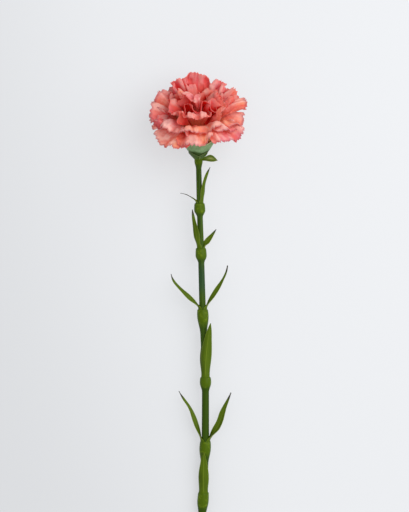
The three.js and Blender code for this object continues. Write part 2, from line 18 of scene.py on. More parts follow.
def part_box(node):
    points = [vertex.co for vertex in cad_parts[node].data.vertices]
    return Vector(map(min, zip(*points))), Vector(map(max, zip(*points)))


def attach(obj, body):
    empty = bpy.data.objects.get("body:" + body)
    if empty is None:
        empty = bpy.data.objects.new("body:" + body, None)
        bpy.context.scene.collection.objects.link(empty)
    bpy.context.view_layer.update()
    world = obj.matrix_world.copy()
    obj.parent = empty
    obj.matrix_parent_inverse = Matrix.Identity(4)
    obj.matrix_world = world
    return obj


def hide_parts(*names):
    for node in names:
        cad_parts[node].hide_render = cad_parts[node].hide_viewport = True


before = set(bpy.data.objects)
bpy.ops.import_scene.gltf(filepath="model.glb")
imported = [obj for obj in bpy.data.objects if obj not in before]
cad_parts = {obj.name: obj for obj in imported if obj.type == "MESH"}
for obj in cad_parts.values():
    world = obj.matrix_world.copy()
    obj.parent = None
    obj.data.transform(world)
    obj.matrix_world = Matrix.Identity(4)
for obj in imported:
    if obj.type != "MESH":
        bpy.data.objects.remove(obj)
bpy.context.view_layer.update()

bl_info = {
    "name": "Cut Carnation",
    "version": (1, 0, 0),
    "blender": (4, 5, 0),
    "location": "3D Viewport > Sidebar > Carnation",
    "description": "Builds a cut carnation, its materials, a pale table, lights and a camera",
    "category": "Add Mesh",
}

MM = 0.001


# ---- Settings -----------------------------------------------------------------------------------


def linear(hex_colour):
    """A colour written as an sRGB hex string, as linear RGBA."""
    srgb = np.array([int(hex_colour[i : i + 2], 16) for i in (1, 3, 5)]) / 255
    low = srgb / 12.92
    high = ((srgb + 0.055) / 1.055) ** 2.4
    return (*np.where(srgb <= 0.04045, low, high).tolist(), 1.0)


def length_property(name, default_mm, description):
    """A length that a user can change, with its default given in millimetres."""
    return bpy.props.FloatProperty(
        name=name, description=description, default=default_mm * MM, unit="LENGTH", precision=5
    )


def colour_property(name, default, description):
    """A colour that a user can change, with its default given as an sRGB hex string."""
    return bpy.props.FloatVectorProperty(
        name=name,
        description=description,
        default=linear(default),
        size=4,
        min=0,
        max=1,
        subtype="COLOR",
    )


class CarnationSettings(bpy.types.PropertyGroup):
    """Sizes and colours of the flower."""

    petal_thickness: length_property("Petal thickness", 0.32, "Thickness of a petal")
    petal_tooth: length_property("Petal tooth", 2.6, "Depth of the teeth on a petal's margin")
    petal_pleat: length_property("Petal pleat", 0.18, "Height of the creased pleats on a petal")
    petal_dent: length_property("Petal dent", 0.5, "Height of the shallow dents in a petal")
    calyx_wall: length_property("Calyx wall", 0.6, "Thickness of the calyx")
    calyx_nerve: length_property("Calyx nerve", 0.05, "Height of the nerves on the calyx")
    scale_thickness: length_property("Scale thickness", 0.32, "Thickness of a scale or the bract")
    leaf_thickness: length_property("Leaf thickness", 0.85, "Thickness of a leaf at its base")
    leaf_tip: length_property("Leaf tip", 0.35, "Thickness of a leaf at its tip")
    leaf_crimp: length_property("Leaf crimp", 0.35, "Height of the slow waves on a leaf's margin")

    petal: colour_property("Petal", "#FAA294", "The blade's salmon")
    # Also the painted shade in the folds' hollows and towards the inner petals' feet.
    petal_deep: colour_property("Deep petal", "#EE6458", "The reddest petals and hollows")
    # Also the painted highlight along the tops of the folds.
    petal_pale: colour_property("Pale petal", "#FFE0D6", "The palest petals and folds")
    petal_warm: colour_property("Warm patches", "#FFB484", "Patches that turn to orange")
    petal_cool: colour_property("Cool patches", "#EE8298", "Patches that turn to pink")
    petal_back: colour_property("Petal back", "#F2A8A4", "The paler underside")
    petal_edge: colour_property("Petal edge", "#C4506A", "The tint on the outer petals' margin")
    petal_throat: colour_property("Petal throat", "#EFC878", "The creamy foot of the blade")
    # The red of the painted shade between the folds and deep in the bloom.
    petal_painted_shade: colour_property("Petal depth", "#F0281C", "The red between the folds")
    calyx_green: colour_property("Calyx", "#728E62", "The waxy blue-green cup")
    scale_green: colour_property("Scales", "#34481C", "The darker scales round the cup")
    stem_green: colour_property("Stem", "#2C420A", "The stem between its joints")
    joint_green: colour_property("Joints", "#485E02", "The yellower swollen joints")
    leaf_green: colour_property("Leaves", "#465A08", "The leaves")
    leaf_dry: colour_property("Dry tips", "#3E3C32", "The dried tips of the leaves")
    table: colour_property("Table", "#86888A", "The pale table top")


def settings():
    """The sizes and colours that the flower is built with."""
    return bpy.context.scene.carnation


def size_of(name):
    """A length setting, in millimetres."""
    return getattr(settings(), name) / MM


# ---- How the flower lies ------------------------------------------------------------------------

GAP = 0.35  # between the stem's top and the calyx
NOD = math.radians(20)  # how far the head is bent up from the stem
NOD_LENGTH = 20
HEAD_LIFT = 20.5  # how high the pressed petals hold the calyx's base
ORIGIN_HEIGHT = 198  # the frame's origin, as a height up the stem
ORIGIN_SIDE = -1
CALYX_BASE = 332
STEM_CUT_RADIUS = 3.3
STEM_TOP_RADIUS = 2.1
RECEPTACLE_RADIUS = 3.2
CUT_SLANT = 0.9
CUT_SIDE = 0.6  # where the cut end is to the side
CUT_FLATS = 12  # sides of the solid stem, one of which is turned to the table


class Joint(NamedTuple):
    """A swollen joint: its top, place to the side, largest radius, length and widest place."""

    height: float
    side: float
    radius: float
    length: float
    widest: float  # as a share of the length, from the top down


JOINTS = {
    "bare": Joint(24, 1.2, 4.1, 9, 0.4),
    "sixth": Joint(69, 3.9, 4.5, 17, 0.4),
    "fifth": Joint(109.5, 5.4, 4.5, 18, 0.3),
    "fourth": Joint(160.5, 5.5, 4.45, 12, 0.35),
    "third": Joint(214, 3.2, 4.5, 20, 0.25),
    "second": Joint(262, 1.9, 4.35, 12, 0.5),
    "first": Joint(297, 0.8, 4.35, 11, 0.5),
}
BEND_HEIGHTS = [0, *(joint.height for joint in JOINTS.values()), CALYX_BASE]
BEND_SIDES = [CUT_SIDE, *(joint.side for joint in JOINTS.values()), 0]


def lerp(a, b, t):
    """The number that lies a share t of the way from a to b."""
    return a + (b - a) * t


def smoothstep(x, low, high):
    """A smooth rise from 0 at low to 1 at high, and level on either side."""
    t = np.clip((x - low) / (high - low), 0, 1)
    return t * t * (3 - 2 * t)


def outward(azimuth):
    """The direction away from the axis at an azimuth."""
    return np.stack([np.cos(azimuth), 0 * azimuth, np.sin(azimuth)], -1)


def around(azimuth):
    """The direction round the axis at an azimuth."""
    return np.stack([-np.sin(azimuth), 0 * azimuth, np.cos(azimuth)], -1)


UP_THE_STEM = np.array([0.0, 1.0, 0.0])


def nod_share(height):
    """How much of the head's bend a height has: none below it, all at the calyx."""
    return np.maximum(0, 1 - (CALYX_BASE - height) / NOD_LENGTH)


def stem_centre(height):
    """The stem's axis at a height."""
    side = np.interp(height, BEND_HEIGHTS, BEND_SIDES)
    forward = NOD_LENGTH / 2 * math.tan(NOD) * nod_share(height) ** 2
    return np.stack([side, height * np.ones_like(side), forward], -1)


HEAD_PLACE = stem_centre(np.float64(CALYX_BASE))
CUT_DEPTH = STEM_CUT_RADIUS * math.cos(math.pi / CUT_FLATS)
CUT_REACH = CUT_DEPTH * CUT_SLANT
LIE_ANGLE = math.asin((HEAD_LIFT - HEAD_PLACE[2] - CUT_DEPTH) / (CALYX_BASE + CUT_REACH))
CUT_LIFT = CUT_DEPTH * math.cos(LIE_ANGLE) + CUT_REACH * math.sin(LIE_ANGLE)
HEAD_HEIGHT = CUT_LIFT + CALYX_BASE * math.sin(LIE_ANGLE) + HEAD_PLACE[2] * math.cos(LIE_ANGLE)
HEAD_TILT = NOD + LIE_ANGLE
TABLE_NORMAL = np.array([0, math.sin(HEAD_TILT), math.cos(HEAD_TILT)])
TABLE_FORWARD = np.array([0, math.cos(HEAD_TILT), -math.sin(HEAD_TILT)])

TO_FRAME = (
    Matrix.Translation(
        Vector((-ORIGIN_SIDE, -ORIGIN_HEIGHT * math.cos(LIE_ANGLE), CUT_LIFT)) * MM
    )
    @ Matrix.Rotation(LIE_ANGLE, 4, "X")
    @ Matrix.Scale(MM, 4)
)
HEAD_TO_FRAME = TO_FRAME @ Matrix.Translation(Vector(HEAD_PLACE)) @ Matrix.Rotation(NOD, 4, "X")


# ---- Mesh helpers -------------------------------------------------------------------------------

SHARP_ANGLE = math.radians(55)
FIT = 4 * MM  # how far a piece may stand out of the box of the solids that it replaces
DEPTH_RAYS = 7
DEPTH_START = 0.3 * MM  # how far off the surface a ray starts
DEPTH_SMOOTHING = 8
NEAR_ZERO = 1e-9


class SheetBuilder:
    """Gathers closed thin sheets into one mesh, with the place of each point kept as attributes."""

    def __init__(self):
        self.points = []
        self.faces = []
        self.facts = {}
        self.count = 0

    def keep(self, name, top, bottom):
        """Keeps a number for each point of the last sheet's two faces."""
        self.facts.setdefault(name, []).extend([top.ravel(), bottom.ravel()])

    def add(self, grid, s, t, thickness, **numbers):
        """Adds a sheet: grid is rows x columns x 3, and s, t and thickness are rows x columns."""
        along = np.gradient(grid, axis=0)
        across = np.gradient(grid, axis=1)
        normal = np.cross(across, along)
        normal /= np.maximum(np.linalg.norm(normal, axis=2, keepdims=True), NEAR_ZERO)
        rows, columns = grid.shape[:2]
        n = rows * columns
        lift = normal * (thickness / 2)[..., None]
        self.points += [(grid + lift).reshape(-1, 3), (grid - lift).reshape(-1, 3)]
        i, j = np.meshgrid(np.arange(rows - 1), np.arange(columns - 1), indexing="ij")
        a = (i * columns + j).ravel() + self.count
        quad = np.stack([a, a + columns, a + columns + 1, a + 1], 1)
        self.faces += [quad[:, ::-1], quad + n]
        # The rim goes once round the sheet and joins its two faces.
        row, column = np.arange(columns), np.arange(rows) * columns
        rim = np.concatenate(
            [row[:-1], column[:-1] + columns - 1, column[-1] + row[:0:-1], column[:0:-1]]
        )
        b = np.roll(rim, -1)
        self.faces.append(np.stack([b, rim, rim + n, b + n], 1)[:, ::-1] + self.count)
        self.keep("along", s, s)
        self.keep("across", t, t)
        self.keep("side", np.ones(n), np.zeros(n))
        for name, number in numbers.items():
            self.keep(name, np.full(n, number), np.full(n, number))
        self.count += 2 * n

    def build(self, name, matrix):
        """Makes one object of all the sheets."""
        facts = {key: np.concatenate(values) for key, values in self.facts.items()}
        points, faces = np.concatenate(self.points), np.concatenate(self.faces).tolist()
        return mesh_object(name, points, faces, matrix, facts)


def ring_object(name, rings, matrix, facts):
    """A closed body of rings, rows x sides x 3, with flat ends. Facts are rows x sides."""
    rows, sides = rings.shape[:2]
    i, j = np.meshgrid(np.arange(rows - 1), np.arange(sides), indexing="ij")
    a, b = (i * sides + j).ravel(), (i * sides + (j + 1) % sides).ravel()
    faces = np.stack([a, a + sides, b + sides, b], 1).tolist()
    faces += [list(range(sides)), list(range(rows * sides - 1, (rows - 1) * sides - 1, -1))]
    flat = {key: values.ravel() for key, values in facts.items()}
    return mesh_object(name, rings.reshape(-1, 3), faces, matrix, flat)


def mesh_object(name, points, faces, matrix, facts):
    """A smooth mesh object, put where a matrix says, with its facts as numbers on its vertices."""
    mesh = bpy.data.meshes.new(name)
    mesh.from_pydata(points.tolist(), [], faces)
    for key, values in facts.items():
        attribute = mesh.attributes.new(key, "FLOAT", "POINT")
        attribute.data.foreach_set("value", np.asarray(values, np.float32))
    mesh.transform(matrix)
    mesh.validate()
    mesh.shade_smooth()
    mesh.set_sharp_from_angle(angle=SHARP_ANGLE)
    piece = bpy.data.objects.new(name, mesh)
    bpy.context.scene.collection.objects.link(piece)
    return piece


def finish_piece(piece, material, node):
    """Checks that a piece lies where its solid does, and then puts it in that solid's place."""
    low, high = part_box(node)
    corners = [Vector(corner) for corner in piece.bound_box]
    if any(c[i] < low[i] - FIT or c[i] > high[i] + FIT for c in corners for i in range(3)):
        raise RuntimeError(f"{piece.name} stands out of {node}")
    piece.data.materials.append(material)
    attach(piece, "root")
    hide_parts(node)


def spread_directions(count):
    """Directions over a half ball, spaced by the golden angle, with more of them near its pole."""
    i = np.arange(count)
    flat = np.sqrt((i + 0.5) / count)
    turn = i * math.pi * (3 - math.sqrt(5))
    return np.stack([flat * np.cos(turn), flat * np.sin(turn), np.sqrt(1 - flat * flat)], 1)


def mark_occlusion(pieces, reach):
    """Keeps on each vertex how much of its view outward is blocked within a reach: 0 is open.
    The petals' material paints red shade by it.
    """
    points, faces, start = [], [], 0
    for piece in pieces:
        points += [v.co for v in piece.data.vertices]
        faces += [[start + i for i in face.vertices] for face in piece.data.polygons]
        start = len(points)
    tree = BVHTree.FromPolygons(points, faces)
    round_pole = [Vector(d) for d in spread_directions(DEPTH_RAYS)]
    for piece in pieces:
        values = []
        for vertex in piece.data.vertices:
            turn = vertex.normal.to_track_quat("Z", "Y")
            origin = vertex.co + vertex.normal * DEPTH_START
            hits = sum(tree.ray_cast(origin, turn @ d, reach)[0] is not None for d in round_pole)
            values.append(hits / DEPTH_RAYS)
        depth = smoothed(piece.data, np.array(values), DEPTH_SMOOTHING)
        piece.data.attributes.new("depth", "FLOAT", "POINT").data.foreach_set("value", depth)


def smoothed(mesh, values, rounds):
    """Values on a mesh's vertices, each averaged with its neighbours a number of times."""
    ends = np.empty(2 * len(mesh.edges), np.int32)
    mesh.edges.foreach_get("vertices", ends)
    a, b = ends.reshape(-1, 2).T
    count = np.bincount(ends, minlength=len(values))
    for _ in range(rounds):
        near = np.bincount(a, values[b], len(values)) + np.bincount(b, values[a], len(values))
        values = (values + near / count) / 2
    return values


# ---- Stem ---------------------------------------------------------------------------------------

SHOULDER_STEP = 0.6
SHOULDER_FULLNESS = 0.78
RECEPTACLE_LENGTH = 8
RECEPTACLE_RIM = 2  # how much of its length has its full radius
RECEPTACLE_TINT = 0.8  # how much of the joints' colour it takes
RIBS = 9
RIB_SHARE = 0.012  # the ribs' height, as a share of the radius
RIBLESS = 8  # the ribs grow over this length, from the cut end up
SLANTED = 12  # the stem's rows turn into the slant of the cut over this length
STEM_SIDES = 40
STEM_ROW_STEP = 0.8


def internode_radius(height):
    """The stem's radius between its joints, which thins evenly."""
    return lerp(STEM_CUT_RADIUS, STEM_TOP_RADIUS, height / CALYX_BASE)


def joint_swelling(joint, height):
    """The share of a joint's swelling at each height: it eases in from below and stops short."""
    x = (joint.height - height) / joint.length
    above = 1 - (1 - SHOULDER_FULLNESS) * ((joint.widest - x) / joint.widest) ** 2
    below = np.cos(math.pi / 2 * np.clip((x - joint.widest) / (1 - joint.widest), 0, 1)) ** 2
    share = np.where(x < joint.widest, above, below)
    step = 1 - smoothstep(height, joint.height, joint.height + SHOULDER_STEP)
    return np.where(x < 0, SHOULDER_FULLNESS * step, share)


def stem_profile(heights):
    """The stem's radius at each height, and how much of it is joint."""
    radius = internode_radius(heights)
    jointed = np.zeros_like(heights)
    for joint in JOINTS.values():
        share = joint_swelling(joint, heights)
        radius = radius + (joint.radius - internode_radius(heights)) * share
        jointed = np.maximum(jointed, share)
    top = CALYX_BASE - GAP
    flare = smoothstep(heights, top - RECEPTACLE_LENGTH, top - RECEPTACLE_RIM)
    jointed = np.maximum(jointed, RECEPTACLE_TINT * flare)
    return lerp(radius, RECEPTACLE_RADIUS, flare), jointed


def stem_rings():
    """The stem's rows from its cut end to its top, with their heights and shares of joint."""
    heights = np.arange(0, CALYX_BASE - GAP, STEM_ROW_STEP)
    heights = np.append(heights, CALYX_BASE - GAP)
    radius, jointed = stem_profile(heights)
    azimuth = np.linspace(0, 2 * math.pi, STEM_SIDES, endpoint=False) + math.pi / STEM_SIDES
    tilt = np.arctan(math.tan(NOD) * nod_share(heights))
    ribs = 1 + RIB_SHARE * np.sin(RIBS * azimuth) * np.clip(heights / RIBLESS, 0, 1)[:, None]
    across = (radius[:, None] * ribs)[..., None] * outward(azimuth)
    raised = across[..., 2]
    across = np.stack(
        [across[..., 0], -raised * np.sin(tilt)[:, None], raised * np.cos(tilt)[:, None]], -1
    )
    rings = stem_centre(heights)[:, None, :] + across
    # The lower rows shear towards the slanted cut, which turns the end of the stem to one side.
    slant = CUT_SLANT * np.clip(1 - heights / SLANTED, 0, 1)[:, None]
    rings[..., 1] += slant * raised
    facts = {
        "height": np.repeat(heights[:, None], STEM_SIDES, 1),
        "joint": np.repeat(jointed[:, None], STEM_SIDES, 1),
    }
    return rings, facts


# ---- Leaves -------------------------------------------------------------------------------------


class Leaf(NamedTuple):
    """A leaf: a half collar on its joint's shoulder, which opens into a narrow blade.

    The angles are in degrees: its azimuth, the twist of its blade, how far its tip swings round
    sideways, and its lean at even steps from the collar to the tip.
    """

    joint: str
    azimuth: float
    length: float
    half_width: float
    twist: float
    swing: float
    leans: tuple


LEAVES = {
    "leaf_1_right": Leaf("first", 25, 30, 2.4, -20, 0, (2, 6, 18, 32)),
    "leaf_1_left": Leaf("first", 205, 18, 1.3, 0, 0, (50, 64, 84)),
    "leaf_2_left": Leaf("second", 150, 31.5, 2.6, 40, 0, (8, 10, 12, 6)),
    "leaf_2_right": Leaf("second", 330, 19.5, 2.4, 45, 0, (38, 42, 38)),
    "leaf_3_left": Leaf("third", 180, 37, 2.1, -55, 0, (44, 46, 46, 40, 8)),
    "leaf_3_right": Leaf("third", 0, 39.5, 2.1, 55, 0, (28, 32, 32, 26, 5)),
    "leaf_4_front": Leaf("fourth", 92, 44.5, 5.2, 0, -11, (2, 4, 9)),
    "leaf_4_back": Leaf("fourth", 268, 40, 4.9, -8, 0, (2, 4, 6)),
    "leaf_5_left": Leaf("fifth", 180, 45, 2.1, -60, 0, (18, 18, 20, 37, 28)),
    "leaf_5_right": Leaf("fifth", 0, 43.5, 3.1, 62, 0, (32, 32, 14, 25, 21)),
    "leaf_6_front": Leaf("sixth", 88, 34, 5, -4, 0, (1, 3, 6)),
    "leaf_6_back": Leaf("sixth", 268, 30, 3.9, 6, 0, (2, 4, 6)),
}
# About how much of a leaf is dry, from its tip, and the leaves that differ.
DRY_TIP = 0.14
DRY_TIPS = {"leaf_1_left": 0.6, "leaf_4_front": 0.0, "leaf_6_front": -0.1}
SHEATH_DEPTH = 1.0  # how far a leaf's collar reaches down into its joint
COLLAR_HEIGHT = 2.2
COLLAR_GAP = 0.05
COLLAR_WRAP = math.radians(83)
LEAF_FOOT_WIDTH = 0.82  # of a blade's half width, before it swells
LEAF_SWELL_RATE = 1.4  # above 1, the blade is widest below its middle
LEAF_TAPER, LEAF_TAPER_FULLNESS = 3.2, 0.85
LEAF_TIP_WIDTH = 0.3
LEAF_CHANNEL = 5  # the radius across the blade
CRIMP_LENGTH = 3.1  # the margins' waves are 2 pi times as long
KEEL_HEIGHT = 0.25
KEEL_WIDTH = 0.16  # as a share of the half width
MARGIN_THINNING = 0.55
LEAF_ROWS = 90
LEAF_COLUMNS = 15


def leaf_lean(leaf, distance):
    """A leaf's lean at a distance along it: none in its collar, then from one lean to the next."""
    free = np.clip((distance - COLLAR_HEIGHT) / (leaf.length - COLLAR_HEIGHT), 0, 1)
    steps = np.arange(len(leaf.leans))
    lean = np.interp(free * steps[-1], steps, leaf.leans)
    return np.radians(lean) * smoothstep(distance, COLLAR_HEIGHT * 0.5, COLLAR_HEIGHT * 1.7)


def leaf_half_width(leaf, s, collar_radius):
    """A leaf's half width: a wide collar, a blade that swells a little, and a long point."""
    collar = collar_radius * COLLAR_WRAP
    swell = (1 - LEAF_FOOT_WIDTH) * np.sin(math.pi * np.minimum(1, s * LEAF_SWELL_RATE))
    blade = leaf.half_width * (LEAF_FOOT_WIDTH + swell)
    opened = smoothstep(s * leaf.length, COLLAR_HEIGHT * 0.3, COLLAR_HEIGHT * 2.2)
    taper = np.maximum(0, 1 - s**LEAF_TAPER) ** LEAF_TAPER_FULLNESS
    return np.maximum(LEAF_TIP_WIDTH, lerp(collar, blade, opened) * taper)


def leaf_midrib(leaf, s, collar_radius):
    """A leaf's midrib, and its directions along, across and up from the blade's inner face."""
    azimuth = np.float64(math.radians(leaf.azimuth))
    out, side = outward(azimuth), around(azimuth)
    lean = leaf_lean(leaf, s * leaf.length)[:, None]
    along = UP_THE_STEM * np.cos(lean) + out * np.sin(lean)
    along = along + side * s[:, None] * math.tan(math.radians(leaf.swing))
    along /= np.linalg.norm(along, axis=1, keepdims=True)
    steps = along[:-1] * leaf.length / (LEAF_ROWS - 1)
    start = stem_centre(np.float64(leaf_foot(leaf))) + out * collar_radius
    midrib = start + np.vstack([np.zeros(3), np.cumsum(steps, 0)])
    turned = (math.radians(leaf.twist) * smoothstep(s, 0.03, 0.35))[:, None]
    across = side * np.cos(turned) + np.cross(along, side) * np.sin(turned)
    return midrib, across, np.cross(across, along)


def leaf_foot(leaf):
    """The height of a leaf's foot up the stem."""
    return JOINTS[leaf.joint].height - SHEATH_DEPTH


def leaf_grid(leaf, number):
    """A leaf's middle surface: its blade is a channel, with slow waves along its margins."""
    collar_radius = internode_radius(leaf_foot(leaf)) + COLLAR_GAP + size_of("leaf_thickness") / 2
    s = np.linspace(0, 1, LEAF_ROWS)
    midrib, across, inner = leaf_midrib(leaf, s, collar_radius)
    s, t = np.meshgrid(s, np.linspace(-1, 1, LEAF_COLUMNS), indexing="ij")
    channel = lerp(collar_radius, LEAF_CHANNEL, smoothstep(s, 0.08, 0.5))
    turn = t * leaf_half_width(leaf, s, collar_radius) / channel
    wave = np.sin(s * leaf.length / CRIMP_LENGTH + number) * smoothstep(s, 0.2, 0.5)
    rise = channel * (1 - np.cos(turn)) + size_of("leaf_crimp") * t * np.abs(t) * wave
    grid = midrib[:, None] + across[:, None] * (channel * np.sin(turn))[..., None]
    return grid + inner[:, None] * rise[..., None], s, t


def leaf_body(s, t):
    """A leaf's thickness: it thins to the tip and to the margins, with a keel along its middle."""
    middle = lerp(size_of("leaf_thickness"), size_of("leaf_tip"), np.sqrt(s))
    keel = KEEL_HEIGHT * np.exp(-((t / KEEL_WIDTH) ** 2)) * (1 - s)
    return middle * (1 - MARGIN_THINNING * t**4) + keel


# ---- Calyx, its scales and the bract ------------------------------------------------------------
#
# From here on, heights are above the calyx's base, along the bloom's own axis.

CALYX_HEIGHT = 14
CALYX_BASE_RADIUS = 3.1
CALYX_MOUTH_RADIUS = 12.6
CALYX_FULLNESS = 0.35
CALYX_FLOOR = 2.2
CALYX_FOOT_WALL = 1.0
CALYX_TEETH = 5
TOOTH_HEIGHT = 2.6
TOOTH_POINT = 1.3  # above 1, the teeth's sides are hollow
NERVES = 45
CALYX_COLUMNS = 270
CALYX_ROWS = 28
# Each scale's azimuth in degrees, its height, and its pair: 0 is the inner one.
SCALES = {
    "scale_front_right": (45, 7.5, 0),
    "scale_front_left": (135, 8, 1),
    "scale_back_left": (225, 7.5, 0),
    "scale_back_right": (315, 8, 1),
}
SCALE_WRAP = math.radians(60)
SCALE_SHOULDER = 0.4  # where a scale starts to narrow to its point
SCALE_POINT = 0.6  # below 1, the sides of the point are hollow
SCALE_GAPS = (0.12, 0.42)  # under the inner pair of scales and under the outer pair
SCALE_TIP = 0.02
SCALE_FLARE = 0.2  # how far a scale's margins lift at its tip
SCALE_THINNING = 0.6
SCALE_GRID = (41, 31)
BRACT_LENGTH = 11.8
BRACT_SUNK = 0.15  # how far its foot goes into the stem
BRACT_HALF_WIDTH = 2.7
BRACT_FOOT = 0.12  # where its outline begins on a half wave, which rises and falls again
BRACT_SWEEP = (0.9, 1.4)  # how much of the half wave it then covers, and how late
BRACT_TIP = 0.06
BRACT_BASE = -1.2
BRACT_ARCH = 1.2
BRACT_FOLD = 0.3
BRACT_RISE = -0.7
BRACT_FACE = math.radians(62)
BRACT_THINNING = 0.5
BRACT_GRID = (40, 13)


def calyx_radius(height):
    """The cup's radius, which opens fast from its foot and then more slowly."""
    up = height / CALYX_HEIGHT
    return lerp(CALYX_BASE_RADIUS, CALYX_MOUTH_RADIUS, up * lerp(1 + CALYX_FULLNESS, 1, up))


def calyx_rings():
    """The cup's outside from its foot to its toothed rim, then its inside down to its floor."""
    share = np.linspace(0, 1, CALYX_ROWS)[:, None]
    azimuth = np.linspace(0, 2 * math.pi, CALYX_COLUMNS, endpoint=False)[None, :]
    tooth = 1 - np.abs(2 * (azimuth * CALYX_TEETH / (2 * math.pi) % 1) - 1)
    rim = CALYX_HEIGHT + TOOTH_HEIGHT * tooth**TOOTH_POINT
    nerve = 0.5 + 0.5 * np.cos(NERVES * azimuth)
    outer_height, inner_height = share * rim, lerp(CALYX_FLOOR, rim, share[::-1])
    ribbed = size_of("calyx_nerve") * (nerve - 0.5) * np.sin(math.pi * share)
    wall = lerp(CALYX_FOOT_WALL, size_of("calyx_wall"), share[::-1])
    height = np.vstack([outer_height, inner_height])
    radius = np.vstack([calyx_radius(outer_height) + ribbed, calyx_radius(inner_height) - wall])
    rings = radius[..., None] * outward(azimuth[0]) + height[..., None] * UP_THE_STEM
    shares = np.vstack([share, share[::-1]]) * np.ones_like(azimuth)
    inside = np.vstack([np.zeros_like(share), np.ones_like(share)]) * np.ones_like(azimuth)
    return rings, {"rise": shares, "nerve": nerve * np.ones_like(shares), "inside": inside}


def blade_places(rows, columns):
    """Places along a blade, from 0 to 1, and across it, from -1 to 1, each rows x columns."""
    return np.meshgrid(np.linspace(0, 1, rows), np.linspace(-1, 1, columns), indexing="ij")


def scale_grid(azimuth, height, pair):
    """A scale's middle surface: broad below, pointed above, and wrapped round the cup."""
    s, t = blade_places(*SCALE_GRID)
    pointed = np.maximum(0, (s - SCALE_SHOULDER) / (1 - SCALE_SHOULDER)) ** SCALE_POINT
    ovate = np.maximum(SCALE_TIP, 1 - pointed)
    turned = math.radians(azimuth) + t * SCALE_WRAP * ovate
    up = s * height
    lift = SCALE_GAPS[pair] + size_of("scale_thickness") / 2 + SCALE_FLARE * s * t * t
    radius = calyx_radius(up) + lift
    return radius[..., None] * outward(turned) + up[..., None] * UP_THE_STEM, s, t


def bract_grid():
    """The bract's middle surface: it arches out to the right and is folded along its middle."""
    s, t = blade_places(*BRACT_GRID)
    out = RECEPTACLE_RADIUS - BRACT_SUNK + s * (BRACT_LENGTH + BRACT_SUNK)
    sweep, lateness = BRACT_SWEEP
    ovate = np.sin(math.pi * np.minimum(1, BRACT_FOOT + sweep * s**lateness))
    half = BRACT_HALF_WIDTH * np.maximum(BRACT_TIP, ovate)
    up = BRACT_BASE + BRACT_ARCH * np.sin(math.pi * s) + BRACT_RISE * s**2
    across = np.array([0, -math.sin(BRACT_FACE), math.cos(BRACT_FACE)])
    face = np.array([0, math.cos(BRACT_FACE), math.sin(BRACT_FACE)])
    grid = np.stack([out, up, 0 * s], -1) + (t * half)[..., None] * across
    return grid + (BRACT_FOLD * half * t**2)[..., None] * face, s, t


# ---- Petals -------------------------------------------------------------------------------------


class Petal(NamedTuple):
    """A petal in the plane of its azimuth, where a place is (distance from the axis, height)."""

    whorl: str
    azimuth: float
    root: tuple
    edge: tuple
    leans: tuple  # at its root and at its edge: 0 stands and a right angle lies flat
    half_width: float
    roll: float
    ruffle: float
    phase: float
    tone: float
    warmth: float
    waves: float  # half waves of ruffle across half of it
    second_phase: float
    swirl: float


PETAL_ROOT_HEIGHT = 15.5
# The petals that give the bloom its outline, each by where its edge is: azimuth, distance from the
# axis, height above the calyx's base, lean there, half its width, roll, ruffle height, phase of the
# ruffle, tone, from 0, deep red, to 1, pale, and warmth, from -1, pink, to 1, orange.
PLACED = {
    "guard": (
        (96, 36, 19.5, 134, 14, -0.2, 1.6, 0.4, 0.65, 0.5),
        (137, 35, 16, 128, 16, 0.1, 2.0, 2.0, 0.95, 0.5),
        (41, 38, 21, 126, 16, -0.1, 2.2, 4.4, 0.7, -0.2),
        (172, 36, 28, 142, 12, 0.5, 2.0, 1.0, 0.7, -0.8),
        (16, 36, 30, 116, 12, -0.2, 2.4, 3.0, 0.7, 0.4),
    ),
    "outer": (
        (177, 37.5, 42, 78, 13, 0.7, 2.0, 0.5, 0.7, 0.0),
        (193, 33, 50, 62, 12, 0.5, 2.4, 2.6, 0.6, 0.1),
        (3, 38, 45, 84, 6, -0.8, 1.2, 1.6, 0.4, 0.2),
        (136, 32, 27.5, 146, 15, 0.25, 2.2, 5.0, 1.0, 0.1),
        (39, 33.5, 27, 136, 14, 0.1, 1.6, 1.1, 0.9, -0.7),
        (86, 31, 28.8, 142, 16, -0.15, 1.8, 0.2, 0.75, 0.3),
    ),
    "middle": (
        (93, 27.5, 38.4, 157, 11, 0.0, 1.5, 3.4, 0.6, -0.3),
        (150, 26, 45, 70, 12, 0.5, 3.4, 0.9, 0.2, 0.2),
        (128, 20, 54, 100, 9, 0.1, 2.4, 2.2, 0.8, -0.2),
        (28, 23, 46, 48, 10, -0.6, 1.8, 4.6, 0.9, 0.9),
        (345, 31, 52, 62, 8, -0.3, 2.4, 4.0, 0.25, -0.2),
        (316, 26, 57.5, 42, 7.5, -0.1, 2.4, 5.5, 0.05, -0.6),
    ),
    "inner": (
        (217, 24, 59, 40, 7, 0.1, 3.0, 0.2, 0.0, -0.4),
        (261, 14, 65, -30, 11.5, 0.0, 1.0, 0.6, 0.7, -0.4),
    ),
}
# The other petals, spread evenly over a range of azimuths: their number, first and last azimuth,
# and the same sizes.
RINGS = {
    "guard": (3, 225, 325, 36, 22, 118, 16, 2.0),
    "outer": (3, 225, 315, 34, 36, 100, 16, 2.6),
    "middle": (3, 215, 285, 26, 50, 70, 13, 3.0),
    "inner": (5, 15, 320, 17, 48, 58, 12, 4.0),
    "centre": (6, 40, 340, 10, 48, 26, 8, 3.0),
}
# How much lower, and how much more bent out, the front petals of a ring are than the back ones.
FACING = {"guard": 0, "outer": 0, "middle": 0.1, "inner": 0.25, "centre": 0.3}
FACING_LEAN = 110
# How far the petals of a ring stray from its own numbers, either way or between two factors.
AZIMUTH_STRAY = 0.3  # of the step from petal to petal
HEIGHT_STRAY = 2.5
LEAN_STRAY = 14
ROLL_STRAY = 0.25
REACH_RANGE, WIDTH_RANGE = (0.88, 1.08), (0.9, 1.1)
RUFFLE_RANGE, WAVE_RANGE = (0.8, 1.2), (0.85, 1.15)
TONE_RANGE, WARMTH_RANGE = (0.0, 0.55), (-0.5, 0.5)
SWIRL = 2  # the most by which a ruffle turns from root to edge, in radians
